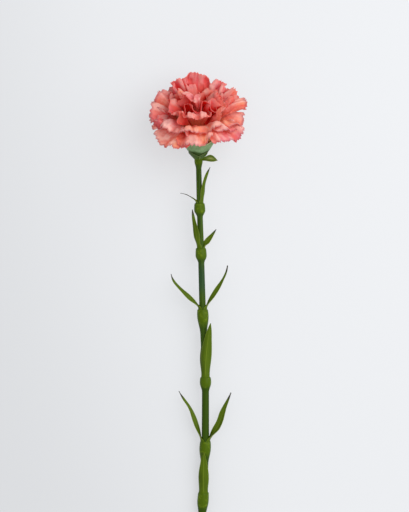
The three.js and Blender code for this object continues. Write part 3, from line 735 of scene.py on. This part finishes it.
# How much more than that the heights and leans of the inner rings stray.
LOOSE = {"guard": 1, "outer": 1, "middle": 1, "inner": 1.6, "centre": 1.8}
ROOT_RADIUS = {"guard": 8, "outer": 7, "middle": 5.5, "inner": 4, "centre": 2}
ROOT_LEAN = {"guard": 12, "outer": 9, "middle": 7, "inner": 5, "centre": 2}
WAVES = {"guard": 1.7, "outer": 2.0, "middle": 2.4, "inner": 2.0, "centre": 2.4}
WHORL_NAMES = ("guard", "outer", "middle", "inner", "centre")
# How far a petal keeps its first and last directions, as a share of its length.
PULL = {"guard": 0.55, "outer": 0.46, "middle": 0.42, "inner": 0.4, "centre": 0.4}
PETAL_ROWS = 34
PETAL_COLUMNS = 61
PETAL_START = 0.04  # where a blade's mesh begins: the rest of its claw is in the heart
CLAW_WIDTH = 0.12  # as a share of the blade's
CLAW_END = 0.12
BLADE_OPENING = 0.8  # the length over which the blade opens
BLADE_FAN = 1.4  # above 1, it opens late, as a fan does
EDGE_ROUNDING = 0.16
COLUMN_CROWDING = 1.1  # how much closer the columns are to each other at the margins
ROW_CROWDING = 0.8  # below 1, the rows are closer to each other at the edge
SECOND_WAVE = 0.35  # the height of a ruffle's second wave, as a share of the first's
SECOND_WAVE_RATE = 1.9
SWAY = 0.3
PLEAT_RATE = 3.1  # pleats to a wave of the ruffle
PLEAT_BEND, PLEAT_BEND_RATE = 1.8, 2.2  # in radians, sideways and along the petal
DENT_WAVES = 4
DENT_TURN = 1.1
DENT_WAVELENGTHS = (6, 13)
DENT_WARP = 0.6  # how much of each wave's height the next one keeps
TEETH = ((11, 0.6), (31, 0.4))  # large and fine teeth: how many, and their share of the depth
TOOTH_DEPTHS = (0.2, 1.0)
TEETH_START = 0.86
PRESSED_HEIGHT = 0.22
PRESS_BLEND = 0.5
PLACE_SEED, TONE_SEED, MARGIN_SEED = 7, 12, 19
MULTIPLIER, MODULUS = 16807, 2**31 - 1


def draws_from(seed):
    """Park and Miller's generator: the same draws on every run."""
    state = seed

    def draw(low, high):
        nonlocal state
        state = state * MULTIPLIER % MODULUS
        return lerp(low, high, state / MODULUS)

    return draw


def ring_places(whorl, draw, draw_tone):
    """The ring's petals, each as a row of the same ten numbers as in PLACED."""
    count, first, last, reach, height, lean, width, ruffle = RINGS[whorl]
    for i in range(count):
        stray = draw(-AZIMUTH_STRAY, AZIMUTH_STRAY)
        azimuth = first + (last - first) * (i + stray) / (count - 1)
        front = FACING[whorl] * math.sin(math.radians(azimuth))
        yield (
            azimuth,
            reach * draw(*REACH_RANGE),
            height - front * reach + draw(-HEIGHT_STRAY, HEIGHT_STRAY) * LOOSE[whorl],
            lean + FACING_LEAN * front + draw(-LEAN_STRAY, LEAN_STRAY) * LOOSE[whorl],
            width * draw(*WIDTH_RANGE),
            draw(-ROLL_STRAY, ROLL_STRAY),
            ruffle * draw(*RUFFLE_RANGE),
            draw(0, 2 * math.pi),
            draw_tone(*TONE_RANGE),
            draw_tone(*WARMTH_RANGE),
        )


def all_petals():
    """Every petal, whorl by whorl: the placed ones and then those of the ring."""
    draw, draw_tone = draws_from(PLACE_SEED), draws_from(TONE_SEED)
    petals = []
    for whorl in WHORL_NAMES:
        places = [*PLACED.get(whorl, ()), *ring_places(whorl, draw, draw_tone)]
        for azimuth, reach, height, lean, *form_and_colour in places:
            petals.append(
                Petal(
                    whorl,
                    math.radians(azimuth),
                    (ROOT_RADIUS[whorl], PETAL_ROOT_HEIGHT),
                    (reach, height),
                    (math.radians(ROOT_LEAN[whorl]), math.radians(lean)),
                    *form_and_colour,
                    waves=WAVES[whorl] * draw(*WAVE_RANGE),
                    second_phase=draw(0, 2 * math.pi),
                    swirl=draw(-SWIRL, SWIRL),
                )
            )
    return petals


def petal_midline(petal, u):
    """A smooth curve from root to edge: (distance out, height, lean) at places u along it."""
    root, edge = np.array(petal.root), np.array(petal.edge)
    pull = PULL[petal.whorl] * np.linalg.norm(edge - root)
    first, last = ([math.sin(a), math.cos(a)] for a in petal.leans)
    knots = [root, root + pull * np.array(first), edge - pull * np.array(last), edge]
    v = 1 - u
    weights = [v**3, 3 * v * v * u, 3 * v * u * u, u**3]
    out, up = (sum(w * k[i] for w, k in zip(weights, knots)) for i in (0, 1))
    slopes = [v * v, 2 * v * u, u * u]
    steps = [b - a for a, b in zip(knots, knots[1:])]
    run, rise = (sum(w * k[i] for w, k in zip(slopes, steps)) for i in (0, 1))
    return out, up, np.arctan2(run, rise)


def petal_relief(petal, s, t, x):
    """How far a petal stands off its midline's surface: its roll, and two waves of ruffle."""
    angle = math.pi * petal.waves * t
    swirl = petal.swirl * s
    first = np.sin(angle + petal.phase + swirl)
    second = SECOND_WAVE * np.sin(SECOND_WAVE_RATE * angle + petal.second_phase - swirl)
    rolled = petal.roll * x * smoothstep(s, 0.0, 0.6)
    return rolled + petal.ruffle * smoothstep(s, 0.25, 1.0) * (first + second)


def crumpling(petal, s, t, length, draw):
    """Fine folds on a petal: pleats with sharp creases that fan out, and uneven dents."""
    bend = PLEAT_BEND * np.sin(PLEAT_BEND_RATE * s + petal.second_phase)
    fan = PLEAT_RATE * math.pi * petal.waves * t + bend
    pleat = 1 - 2 * np.abs(np.sin(fan / 2 + petal.phase))
    dent = 0
    for _ in range(DENT_WAVES):
        angle, wavelength = draw(-DENT_TURN, DENT_TURN), draw(*DENT_WAVELENGTHS)
        run = petal.half_width * t * math.cos(angle) + length * s * math.sin(angle)
        wave = np.sin(2 * math.pi * run / wavelength + draw(0, 2 * math.pi) + dent)
        dent = DENT_WARP * dent + wave
    folds = size_of("petal_pleat") * pleat + size_of("petal_dent") * dent
    return folds * smoothstep(s, 0.3, 0.8)


def swaying(petal, s, t):
    """How far the folds lean over sideways, so that they overhang."""
    angle = math.pi * petal.waves * t + petal.phase + petal.swirl * s
    return -SWAY * petal.ruffle * np.sin(2 * angle) * smoothstep(s, 0.4, 1.0)


def toothed_edge(t, draw):
    """How far the margin is cut back: uneven pointed teeth, with finer ones on them."""
    cut = 0
    for count, share in TEETH:
        depth = np.array([draw(*TOOTH_DEPTHS) for _ in range(count + 2)])
        place = (t + 1) / 2 * count + draw(0, 1)
        tooth = np.floor(place).astype(int)
        phase = place - tooth
        cut = cut + share * lerp(depth[tooth], depth[tooth + 1], phase) * np.abs(2 * phase - 1)
    return size_of("petal_tooth") * cut


def pressed(points):
    """Petals that would go through the table bend along it instead."""
    height = points @ TABLE_NORMAL + HEAD_HEIGHT
    risen = PRESS_BLEND * np.logaddexp(0, (PRESSED_HEIGHT - height) / PRESS_BLEND)
    return points + risen[..., None] * (TABLE_NORMAL + TABLE_FORWARD)


def petal_grid(petal, draw):
    """A petal's middle surface, and on it how high each point's fold is for the petal's ruffle."""
    s, t = blade_places(PETAL_ROWS, PETAL_COLUMNS)
    s = lerp(PETAL_START, 1, s**ROW_CROWDING)
    opened = np.clip((s - CLAW_END) / BLADE_OPENING, 0, 1)
    blade = lerp(CLAW_WIDTH, 1, np.sin(math.pi / 2 * opened) ** BLADE_FAN)
    x = petal.half_width * blade * np.sin(COLUMN_CROWDING * t) / math.sin(COLUMN_CROWDING)
    length = math.dist(petal.root, petal.edge)
    along = s * (1 - EDGE_ROUNDING * t * t * blade)
    along = along - toothed_edge(t, draw) / length * smoothstep(s, TEETH_START, 1)
    out, up, lean = petal_midline(petal, along)
    relief = petal_relief(petal, s, t, x) + crumpling(petal, s, t, length, draw)
    x = x + swaying(petal, s, t)
    azimuth = np.float64(petal.azimuth)
    points = (
        (out - relief * np.cos(lean))[..., None] * outward(azimuth)
        + (up + relief * np.sin(lean))[..., None] * UP_THE_STEM
        + x[..., None] * around(azimuth)
    )
    return pressed(points), s, t, relief / petal.ruffle


# The heart's outline, from the bottom up: radius and height.
HEART = (
    (3.2, 2.6),
    (5.0, 5),
    (7.4, 9),
    (9.2, 12.5),
    (9.8, 15.5),
    (10.5, 20),
    (10.5, 26),
    (9.0, 32),
    (6.0, 37),
    (2.0, 40),
)
HEART_ROWS = 50
HEART_SIDES = 120
HEART_ALONG = 0.45  # where on a petal its colours end, at the heart's top
CLAW_FOLDS = ((17, 0.05, 0), (29, 0.03, 1))  # how many, their height as a share, and their phase


def heart_rings():
    """The bundle of petal claws that fills the calyx and the middle of the bloom."""
    radii, heights = np.array(HEART).T
    fine = np.linspace(heights[0], heights[-1], HEART_ROWS)
    azimuth = np.linspace(0, 2 * math.pi, HEART_SIDES, endpoint=False)
    folded = 1 + sum(share * np.sin(n * azimuth + phase) for n, share, phase in CLAW_FOLDS)
    radius = np.interp(fine, heights, radii)[:, None] * folded
    rings = radius[..., None] * outward(azimuth) + fine[:, None, None] * UP_THE_STEM
    share = np.linspace(0, 1, HEART_ROWS)[:, None] * np.ones_like(folded)
    # Its colours are those of petals' feet: creamy ones of outer petals below, and at its top the
    # painted red shade of inner ones' feet.
    return rings, {"along": HEART_ALONG * share, "whorl": smoothstep(share, 0.6, 0.8)}


# ---- Materials ----------------------------------------------------------------------------------

METRE = 1000  # in millimetres: one unit of an object's own coordinates
# The streaks on a blade are sized by a middling one's half width and length. The last number is
# how far apart two pieces take their streaks out of the same noise.
PETAL_SPAN = (12, 32, 1.6)
LEAF_SPAN = (3, 42, 1.5)
SCALE_SPAN = (4.32, 8, 1)
WAX = {"IOR": 1.45, "Specular IOR Level": 0.1}
SATIN = {"IOR": 1.4, "Specular IOR Level": 0.15}
SHINE_THROUGH = 0.52  # the share of its light that a petal lets through
TABLE_GLOW = 0.59
GLOW_DIRECTION = (1, 0.3, 0)


class NodeMaterial:
    """A material with one Principled shader, and what its nodes are built with."""

    def __init__(self, name):
        self.material = bpy.data.materials.new(name)
        self.material.use_nodes = True
        self.tree = self.material.node_tree
        self.shader = self.tree.nodes["Principled BSDF"]

    def plug(self, node, inputs):
        """Links each input that is given a socket, and sets each one that is given a value."""
        for key, value in inputs.items():
            if isinstance(value, bpy.types.NodeSocket):
                self.tree.links.new(value, node.inputs[key])
            else:
                node.inputs[key].default_value = value

    def add(self, kind, inputs=None, output=0, **options):
        """Adds a node with its options and inputs, and returns one of its outputs."""
        node = self.tree.nodes.new(kind)
        for key, value in options.items():
            setattr(node, key, value)
        self.plug(node, inputs or {})
        return node.outputs[output]

    def mottling(self, place, unit, spots, detail):
        """Soft uneven spots, of a size in millimetres that may differ from axis to axis.

        One unit of the place that they are laid out by is unit millimetres long.
        """
        scale = np.broadcast_to(np.divide(unit, spots), 3).tolist()
        spread = self.add("ShaderNodeMapping", {"Vector": place, "Scale": scale})
        return self.add("ShaderNodeTexNoise", {"Vector": spread, "Scale": 1.0, "Detail": detail})

    def mask(self, *steps):
        """The product of smooth steps.

        A step is its value, where it begins and where it is full, and then its two levels where
        they aren't 0 and 1.
        """
        product = None
        for value, begins, full, *levels in steps:
            low, high = levels or (0.0, 1.0)
            inputs = {0: value, 1: begins, 2: full, 3: low, 4: high}
            share = self.add("ShaderNodeMapRange", inputs, interpolation_type="SMOOTHSTEP")
            if product is None:
                product = share
            else:
                product = self.add("ShaderNodeMath", {0: product, 1: share}, operation="MULTIPLY")
        return product

    def paint(self, colour, *layers):
        """Lays colours over one another, each as far as the mask of its own steps is up."""
        for tint, *steps in layers:
            inputs = {0: self.mask(*steps), 6: colour, 7: tint}
            colour = self.add("ShaderNodeMix", inputs, 2, data_type="RGBA")
        return colour

    def surface(self, colour, relief, strength, height, roughness, coat):
        """Gives the shader its colour, a fine relief of a height in millimetres and its gloss."""
        bump = {"Height": relief, "Strength": strength, "Distance": height * MM}
        normal = self.add("ShaderNodeBump", bump)
        self.plug(self.shader, {"Base Color": colour, "Normal": normal, "Roughness": roughness})
        self.plug(self.shader, coat)
        return self.material


def petal_material():
    """Thin satin petals, which let light through.

    The salmon blades differ in tone from petal to petal. Their folds get a painted highlight on top
    and painted red shade in their hollows and depths, and the feet of the inner ones are painted
    red shade. The outer ones have creamy feet and pinker margins.
    """
    colours = settings()
    m = NodeMaterial("carnation_petal")
    s, t, side, piece, whorl, depth, tone, warmth, fold = (
        m.add("ShaderNodeAttribute", output="Fac", attribute_name=name)
        for name in ("along", "across", "side", "piece", "whorl", "depth", "tone", "warmth", "fold")
    )
    blade_place = m.add("ShaderNodeCombineXYZ", {"X": t, "Y": s, "Z": piece})
    place = m.add("ShaderNodeTexCoord", output="Object")
    # A petal's real veins are a few tenths of a millimetre wide. These are coarser, to show.
    streaks = m.mottling(blade_place, PETAL_SPAN, (1.5, 12.5, 1), 3)
    patches = m.mottling(place, METRE, 26.3, 1)
    blotches = m.mottling(place, METRE, 11.1, 3)
    specks = m.mottling(place, METRE, 3.85, 2)
    warm_here = m.add("ShaderNodeMath", {0: warmth, 1: 0.14, 2: patches}, operation="MULTIPLY_ADD")
    front = m.paint(
        colours.petal_deep,
        (colours.petal, (tone, 0, 0.5)),
        (colours.petal_pale, (tone, 0.5, 1)),
        (colours.petal_pale, (whorl, 0.4, 0.1, 0, 0.3)),
        (colours.petal_warm, (warm_here, 0.5, 0.66, 0, 0.75)),
        (colours.petal_cool, (warm_here, 0.48, 0.34, 0, 0.7)),
        (colours.petal_pale, (streaks, 0.45, 0.7, 0, 0.45)),
        (colours.petal_deep, (streaks, 0.5, 0.3, 0, 0.3)),
        (colours.petal_pale, (blotches, 0.5, 0.7, 0, 0.5)),
        (colours.petal_deep, (specks, 0.5, 0.35, 0, 0.3)),
    )
    back = m.paint(colours.petal_back, (colours.petal_pale, (streaks, 0.3, 0.7)))
    # The inner petals' feet take the painted red shade.
    foot = m.paint(colours.petal_throat, (colours.petal_painted_shade, (whorl, 0.5, 0.8)))
    edge = m.paint(colours.petal_edge, (colours.petal, (whorl, 0.3, 0.6)))
    colour = m.paint(
        front,
        (back, (side, 1, 0), (whorl, 0.8, 0.3, 0.2, 0.8)),
        # Painted highlight along the folds' tops, and painted shade in the hollows between them.
        (colours.petal_pale, (fold, 0.2, 1.1, 0, 0.6)),
        (colours.petal_deep, (fold, -0.3, -1.1, 0, 0.5)),
        # The outer petals' feet turn creamy; the inner ones get a painted red shade towards their
        # feet, deep in the middle of the bloom.
        (colours.petal_deep, (whorl, 0.5, 0.8), (s, 1, 0.7, 0.1, 0.6)),
        (foot, (s, 0.65, 0.3, 0, 0.8)),
        (edge, (s, 0.94, 1, 0, 0.5)),
        # Painted red shade where a petal is hemmed in by others, most in the middle of the bloom.
        (
            colours.petal_painted_shade,
            (depth, 0.35, 0.9),
            (s, 1, 0.88, 0.2, 0.95),
            (whorl, 0.3, 0.75, 0.35, 1),
        ),
    )
    m.surface(colour, streaks, 0.25, 0.2, 0.6, SATIN)
    through = m.add(
        "ShaderNodeMix", {0: 0.3, 6: colour, 7: colour}, 2, data_type="RGBA", blend_type="MULTIPLY"
    )
    translucent = m.add("ShaderNodeBsdfTranslucent", {"Color": through})
    shaders = {0: SHINE_THROUGH, 1: m.shader.outputs[0], 2: translucent}
    both = m.add("ShaderNodeMixShader", shaders)
    m.plug(m.tree.nodes["Material Output"], {"Surface": both})
    return m.material


def stem_material():
    """A waxy stem: dark green with fine lengthwise streaks, yellower joints, a pale wet cut."""
    colours = settings()
    m = NodeMaterial("carnation_stem")
    height, joint = (
        m.add("ShaderNodeAttribute", output="Fac", attribute_name=name)
        for name in ("height", "joint")
    )
    place = m.add("ShaderNodeTexCoord", output="Object")
    # Real streaks are a few tenths of a millimetre wide. These are coarser, so that they show.
    streaks = m.mottling(place, METRE, (1.11, 25, 1.11), 4)
    patches = m.mottling(place, METRE, (8.33, 33.3, 8.33), 2)
    spots = m.mottling(place, METRE, 3.125, 2)
    second, third = JOINTS["second"].height, JOINTS["third"].height
    swollen = m.paint(colours.joint_green, (linear("#748A1A"), (spots, 0.5, 0.75, 0, 0.6)))
    colour = m.paint(
        colours.stem_green,
        (linear("#3C5410"), (streaks, 0.35, 0.7)),
        (linear("#44560E"), (patches, 0.5, 0.75, 0, 0.5)),
        # The stem is bluer between these two joints, and darker below them.
        (
            linear("#23402A"),
            (height, third + 8, third + 20),
            (height, second - 6, second - 22, 0, 0.7),
        ),
        (linear("#2C4400"), (height, third - 9, third - 29, 0, 0.7)),
        (swollen, (joint, 0.25, 0.95, 0, 0.85)),
        (linear("#C9D39A"), (height, 0.4, 0)),
    )
    return m.surface(colour, streaks, 0.3, 0.15, 0.42, WAX)


def leaf_material():
    """Narrow waxy leaves: parallel veins, a pale midrib and margins, and dried grey tips."""
    colours = settings()
    m = NodeMaterial("carnation_leaf")
    s, t, piece, dried = (
        m.add("ShaderNodeAttribute", output="Fac", attribute_name=name)
        for name in ("along", "across", "piece", "dry")
    )
    aside = m.add("ShaderNodeMath", {0: t}, operation="ABSOLUTE")
    blade_place = m.add("ShaderNodeCombineXYZ", {"X": t, "Y": s, "Z": piece})
    place = m.add("ShaderNodeTexCoord", output="Object")
    veins = m.mottling(blade_place, LEAF_SPAN, (0.25, 40, 1), 2)
    patches = m.mottling(place, METRE, (11.1, 25, 11.1), 3)
    dry = m.add("ShaderNodeMath", {0: s, 1: dried}, operation="ADD")
    dry = m.add("ShaderNodeMath", {0: patches, 1: 0.1, 2: dry}, operation="MULTIPLY_ADD")
    colour = m.paint(
        colours.leaf_green,
        (linear("#4F640C"), (veins, 0.35, 0.7)),
        (linear("#374902"), (patches, 0.5, 0.7, 0, 0.6)),
        (linear("#748628"), (aside, 0.12, 0.02, 0, 0.4)),
        (linear("#86943C"), (aside, 0.86, 0.98, 0, 0.6)),
        (colours.joint_green, (s, 0.12, 0.02)),
        (colours.leaf_dry, (dry, 1, 1.12)),
    )
    return m.surface(colour, veins, 0.4, 0.2, 0.45, WAX)


def calyx_material():
    """The calyx: a pale, blue-green wax, with paler nerves, a dark foot and thin papery rims."""
    colours = settings()
    m = NodeMaterial("carnation_calyx")
    rise, nerve, inside = (
        m.add("ShaderNodeAttribute", output="Fac", attribute_name=name)
        for name in ("rise", "nerve", "inside")
    )
    place = m.add("ShaderNodeTexCoord", output="Object")
    mottled = m.mottling(place, METRE, (3.33, 8.33, 3.33), 3)
    colour = m.paint(
        colours.calyx_green,
        (linear("#84A076"), (mottled, 0.35, 0.7)),
        (linear("#587648"), (nerve, 0, 1, 0, 0.12)),
        (colours.scale_green, (rise, 0.58, 0.42)),
        (linear("#C9C9A0"), (rise, 0.93, 1, 0, 0.7)),
        (linear("#C3D0A2"), (inside, 0, 1, 0, 0.6)),
    )
    return m.surface(colour, mottled, 0.2, 0.1, 0.55, WAX)


def scale_material():
    """The scales and the lighter bract: streaked lengthwise, with thin pale margins, and a painted
    highlight in the bract's middle.
    """
    colours = settings()
    m = NodeMaterial("carnation_scale")
    s, t, bract = (
        m.add("ShaderNodeAttribute", output="Fac", attribute_name=name)
        for name in ("along", "across", "bract")
    )
    aside = m.add("ShaderNodeMath", {0: t}, operation="ABSOLUTE")
    blade_place = m.add("ShaderNodeCombineXYZ", {"X": t, "Y": s})
    streaks = m.mottling(blade_place, SCALE_SPAN, (0.3, 5, 1), 3)
    colour = m.paint(
        colours.scale_green,
        (linear("#4A6228"), (streaks, 0.35, 0.7)),
        (linear("#5A6C24"), (bract, 0, 1, 0, 0.8)),
        # The bract has a painted highlight in its middle.
        (
            linear("#A4B068"),
            (s, 0.2, 0.5),
            (s, 0.85, 0.55),
            (aside, 0.5, 0.1),
            (bract, 0, 1, 0, 0.5),
        ),
        (colours.joint_green, (s, 0.3, 0)),
        (linear("#8E9C66"), (aside, 0.85, 0.98, 0, 0.5)),
        (colours.leaf_dry, (s, 0.93, 1)),
    )
    return m.surface(colour, streaks, 0.3, 0.15, 0.45, WAX)


def table_material():
    """A light table's matt opal acrylic: lit softly from within, with a barely visible tooth."""
    m = NodeMaterial("opal_acrylic")
    place = m.add("ShaderNodeTexCoord", output="Object")
    # Its tooth is coarser than a real one, so that it shows, and its hollows get a faint painted
    # shade.
    tooth = m.mottling(place, METRE, 1.11, 2)
    pale = settings().table
    hollow = [part * 0.985 for part in pale[:3]] + [1]
    colour = m.add("ShaderNodeMix", {0: tooth, 6: pale, 7: hollow}, 2, data_type="RGBA")
    # It shines a little less towards the left and the foot of the flower.
    run = {0: place, 1: GLOW_DIRECTION}
    run = m.add("ShaderNodeVectorMath", run, "Value", operation="DOT_PRODUCT")
    glow = m.mask((run, -0.2, 0.05, 0.83 * TABLE_GLOW, 1.01 * TABLE_GLOW))
    m.plug(m.shader, {"Base Color": colour, "Roughness": 0.9, "Specular IOR Level": 0.2})
    m.plug(m.shader, {"Emission Color": linear("#F4F5F8"), "Emission Strength": glow})
    return m.material


# ---- Operators ----------------------------------------------------------------------------------

DEPTH_REACH = 24 * MM
# The stage's lengths are in metres.
TABLE_HALF = 3.0
WORLD_STRENGTH = 0.83
SOFTBOX_POWER = 8.5
SOFTBOX_SIZE = 1.0
SOFTBOX_PLACE = (0.55, 0.3, 0.8)
CAMERA_PLACE = (0.0057, 0.0577, 0.96)
LENS, SENSOR_HEIGHT = 85, 36


class CARNATION_OT_stem(bpy.types.Operator):
    """Builds the jointed stem, with its slanted cut end"""

    bl_idname = "carnation.stem"
    bl_label = "Build Stem"

    def execute(self, context):
        rings, facts = stem_rings()
        piece = ring_object("stem_skin", rings, TO_FRAME, facts)
        finish_piece(piece, stem_material(), "stem")
        return {"FINISHED"}


class CARNATION_OT_leaves(bpy.types.Operator):
    """Builds the paired leaves, each clasping the stem above its joint"""

    bl_idname = "carnation.leaves"
    bl_label = "Build Leaves"

    def execute(self, context):
        material = leaf_material()
        for number, (name, leaf) in enumerate(LEAVES.items()):
            sheet = SheetBuilder()
            grid, s, t = leaf_grid(leaf, number)
            dry = DRY_TIPS.get(name, DRY_TIP)
            sheet.add(grid, s, t, leaf_body(s, t), piece=number, dry=dry)
            finish_piece(sheet.build(name + "_blade", TO_FRAME), material, name)
        return {"FINISHED"}


class CARNATION_OT_calyx(bpy.types.Operator):
    """Builds the calyx, the four scales round its foot and the bract under it"""

    bl_idname = "carnation.calyx"
    bl_label = "Build Calyx"

    def execute(self, context):
        rings, facts = calyx_rings()
        cup = ring_object("calyx_cup", rings, HEAD_TO_FRAME, facts)
        finish_piece(cup, calyx_material(), "calyx")

        material = scale_material()
        thickness = size_of("scale_thickness")
        for name, scale in SCALES.items():
            sheet = SheetBuilder()
            grid, s, t = scale_grid(*scale)
            sheet.add(grid, s, t, thickness * (1 - SCALE_THINNING * t**4), bract=0)
            finish_piece(sheet.build(name + "_leaf", HEAD_TO_FRAME), material, name)

        sheet = SheetBuilder()
        grid, s, t = bract_grid()
        sheet.add(grid, s, t, thickness * (1 - BRACT_THINNING * t**4), bract=1)
        finish_piece(sheet.build("bract_leaf", HEAD_TO_FRAME), material, "bract")
        return {"FINISHED"}


class CARNATION_OT_bloom(bpy.types.Operator):
    """Builds the petals, whorl by whorl, and the heart that they stand in"""

    bl_idname = "carnation.bloom"
    bl_label = "Build Bloom"

    def execute(self, context):
        material = petal_material()
        petals = list(enumerate(all_petals()))
        draw = draws_from(MARGIN_SEED)
        pieces = []
        for whorl, name in zip(np.linspace(0, 1, len(WHORL_NAMES)), WHORL_NAMES):
            sheets = SheetBuilder()
            for number, petal in petals:
                if petal.whorl == name:
                    grid, s, t, fold = petal_grid(petal, draw)
                    thickness = np.full(s.shape, size_of("petal_thickness"))
                    facts = {"tone": petal.tone, "warmth": petal.warmth}
                    sheets.add(grid, s, t, thickness, piece=number, whorl=whorl, **facts)
                    sheets.keep("fold", fold, -fold)
            pieces.append(sheets.build("petals_" + name, HEAD_TO_FRAME))
        rings, facts = heart_rings()
        pieces.append(ring_object("petal_claws", rings, HEAD_TO_FRAME, facts))
        # How hemmed in each vertex is, for the petals' painted red shade.
        mark_occlusion(pieces, DEPTH_REACH)
        for piece in pieces:
            finish_piece(piece, material, "bloom")
        return {"FINISHED"}


class CARNATION_OT_stage(bpy.types.Operator):
    """Adds the pale table, the soft studio light and the camera"""

    bl_idname = "carnation.stage"
    bl_label = "Build Stage"

    def execute(self, context):
        add_table()
        add_lights(context.scene)
        add_camera(context.scene)
        return {"FINISHED"}


def add_table():
    """A table top under the flower, so large that its edges don't show."""
    mesh = bpy.data.meshes.new("table_top")
    signs = ((-1, -1), (1, -1), (1, 1), (-1, 1))
    corners = [(TABLE_HALF * x, TABLE_HALF * y, 0) for x, y in signs]
    mesh.from_pydata(corners, [], [(0, 1, 2, 3)])
    mesh.materials.append(table_material())
    table = bpy.data.objects.new("table_top", mesh)
    bpy.context.scene.collection.objects.link(table)


def add_lights(scene):
    """Soft even light from all round, and one large soft lamp above and to the right."""
    world = bpy.data.worlds.new("studio")
    world.use_nodes = True
    background = world.node_tree.nodes["Background"]
    background.inputs["Color"].default_value = linear("#F4F4F4")
    background.inputs["Strength"].default_value = WORLD_STRENGTH
    scene.world = world
    scene.view_settings.view_transform = "Standard"

    light = bpy.data.lights.new("softbox", "AREA")
    light.shape = "SQUARE"
    light.size = SOFTBOX_SIZE
    light.energy = SOFTBOX_POWER
    lamp = bpy.data.objects.new("softbox", light)
    lamp.location = SOFTBOX_PLACE
    lamp.rotation_euler = (-lamp.location).to_track_quat("-Z", "Y").to_euler()
    scene.collection.objects.link(lamp)


def add_camera(scene):
    """A long lens that looks straight down on the flower, past the stem's lower end."""
    camera_data = bpy.data.cameras.new("camera")
    camera_data.lens = LENS
    camera_data.sensor_fit = "VERTICAL"
    camera_data.sensor_height = SENSOR_HEIGHT
    camera = bpy.data.objects.new("camera", camera_data)
    camera.location = CAMERA_PLACE
    camera.rotation_euler = (0, 0, 0)
    scene.collection.objects.link(camera)
    scene.camera = camera


class CARNATION_PT_panel(bpy.types.Panel):
    """The sidebar's sizes, colours and buttons"""

    bl_idname = "CARNATION_PT_panel"
    bl_label = "Cut Carnation"
    bl_space_type = "VIEW_3D"
    bl_region_type = "UI"
    bl_category = "Carnation"

    def draw(self, context):
        for name in CarnationSettings.__annotations__:
            self.layout.prop(context.scene.carnation, name)
        for operator in OPERATORS:
            self.layout.operator(operator.bl_idname)


OPERATORS = (
    CARNATION_OT_stem,
    CARNATION_OT_leaves,
    CARNATION_OT_calyx,
    CARNATION_OT_bloom,
    CARNATION_OT_stage,
)
CLASSES = (CarnationSettings, *OPERATORS, CARNATION_PT_panel)


def register():
    for cls in CLASSES:
        bpy.utils.register_class(cls)
    bpy.types.Scene.carnation = bpy.props.PointerProperty(type=CarnationSettings)


def unregister():
    del bpy.types.Scene.carnation
    for cls in reversed(CLASSES):
        bpy.utils.unregister_class(cls)


def main():
    register()
    for operator in OPERATORS:
        group, name = operator.bl_idname.split(".")
        getattr(getattr(bpy.ops, group), name)()
    shown = sorted(name for name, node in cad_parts.items() if not node.hide_render)
    if shown:
        raise RuntimeError(f"these solids have no finished piece: {shown}")


if __name__ == "__main__":
    main()
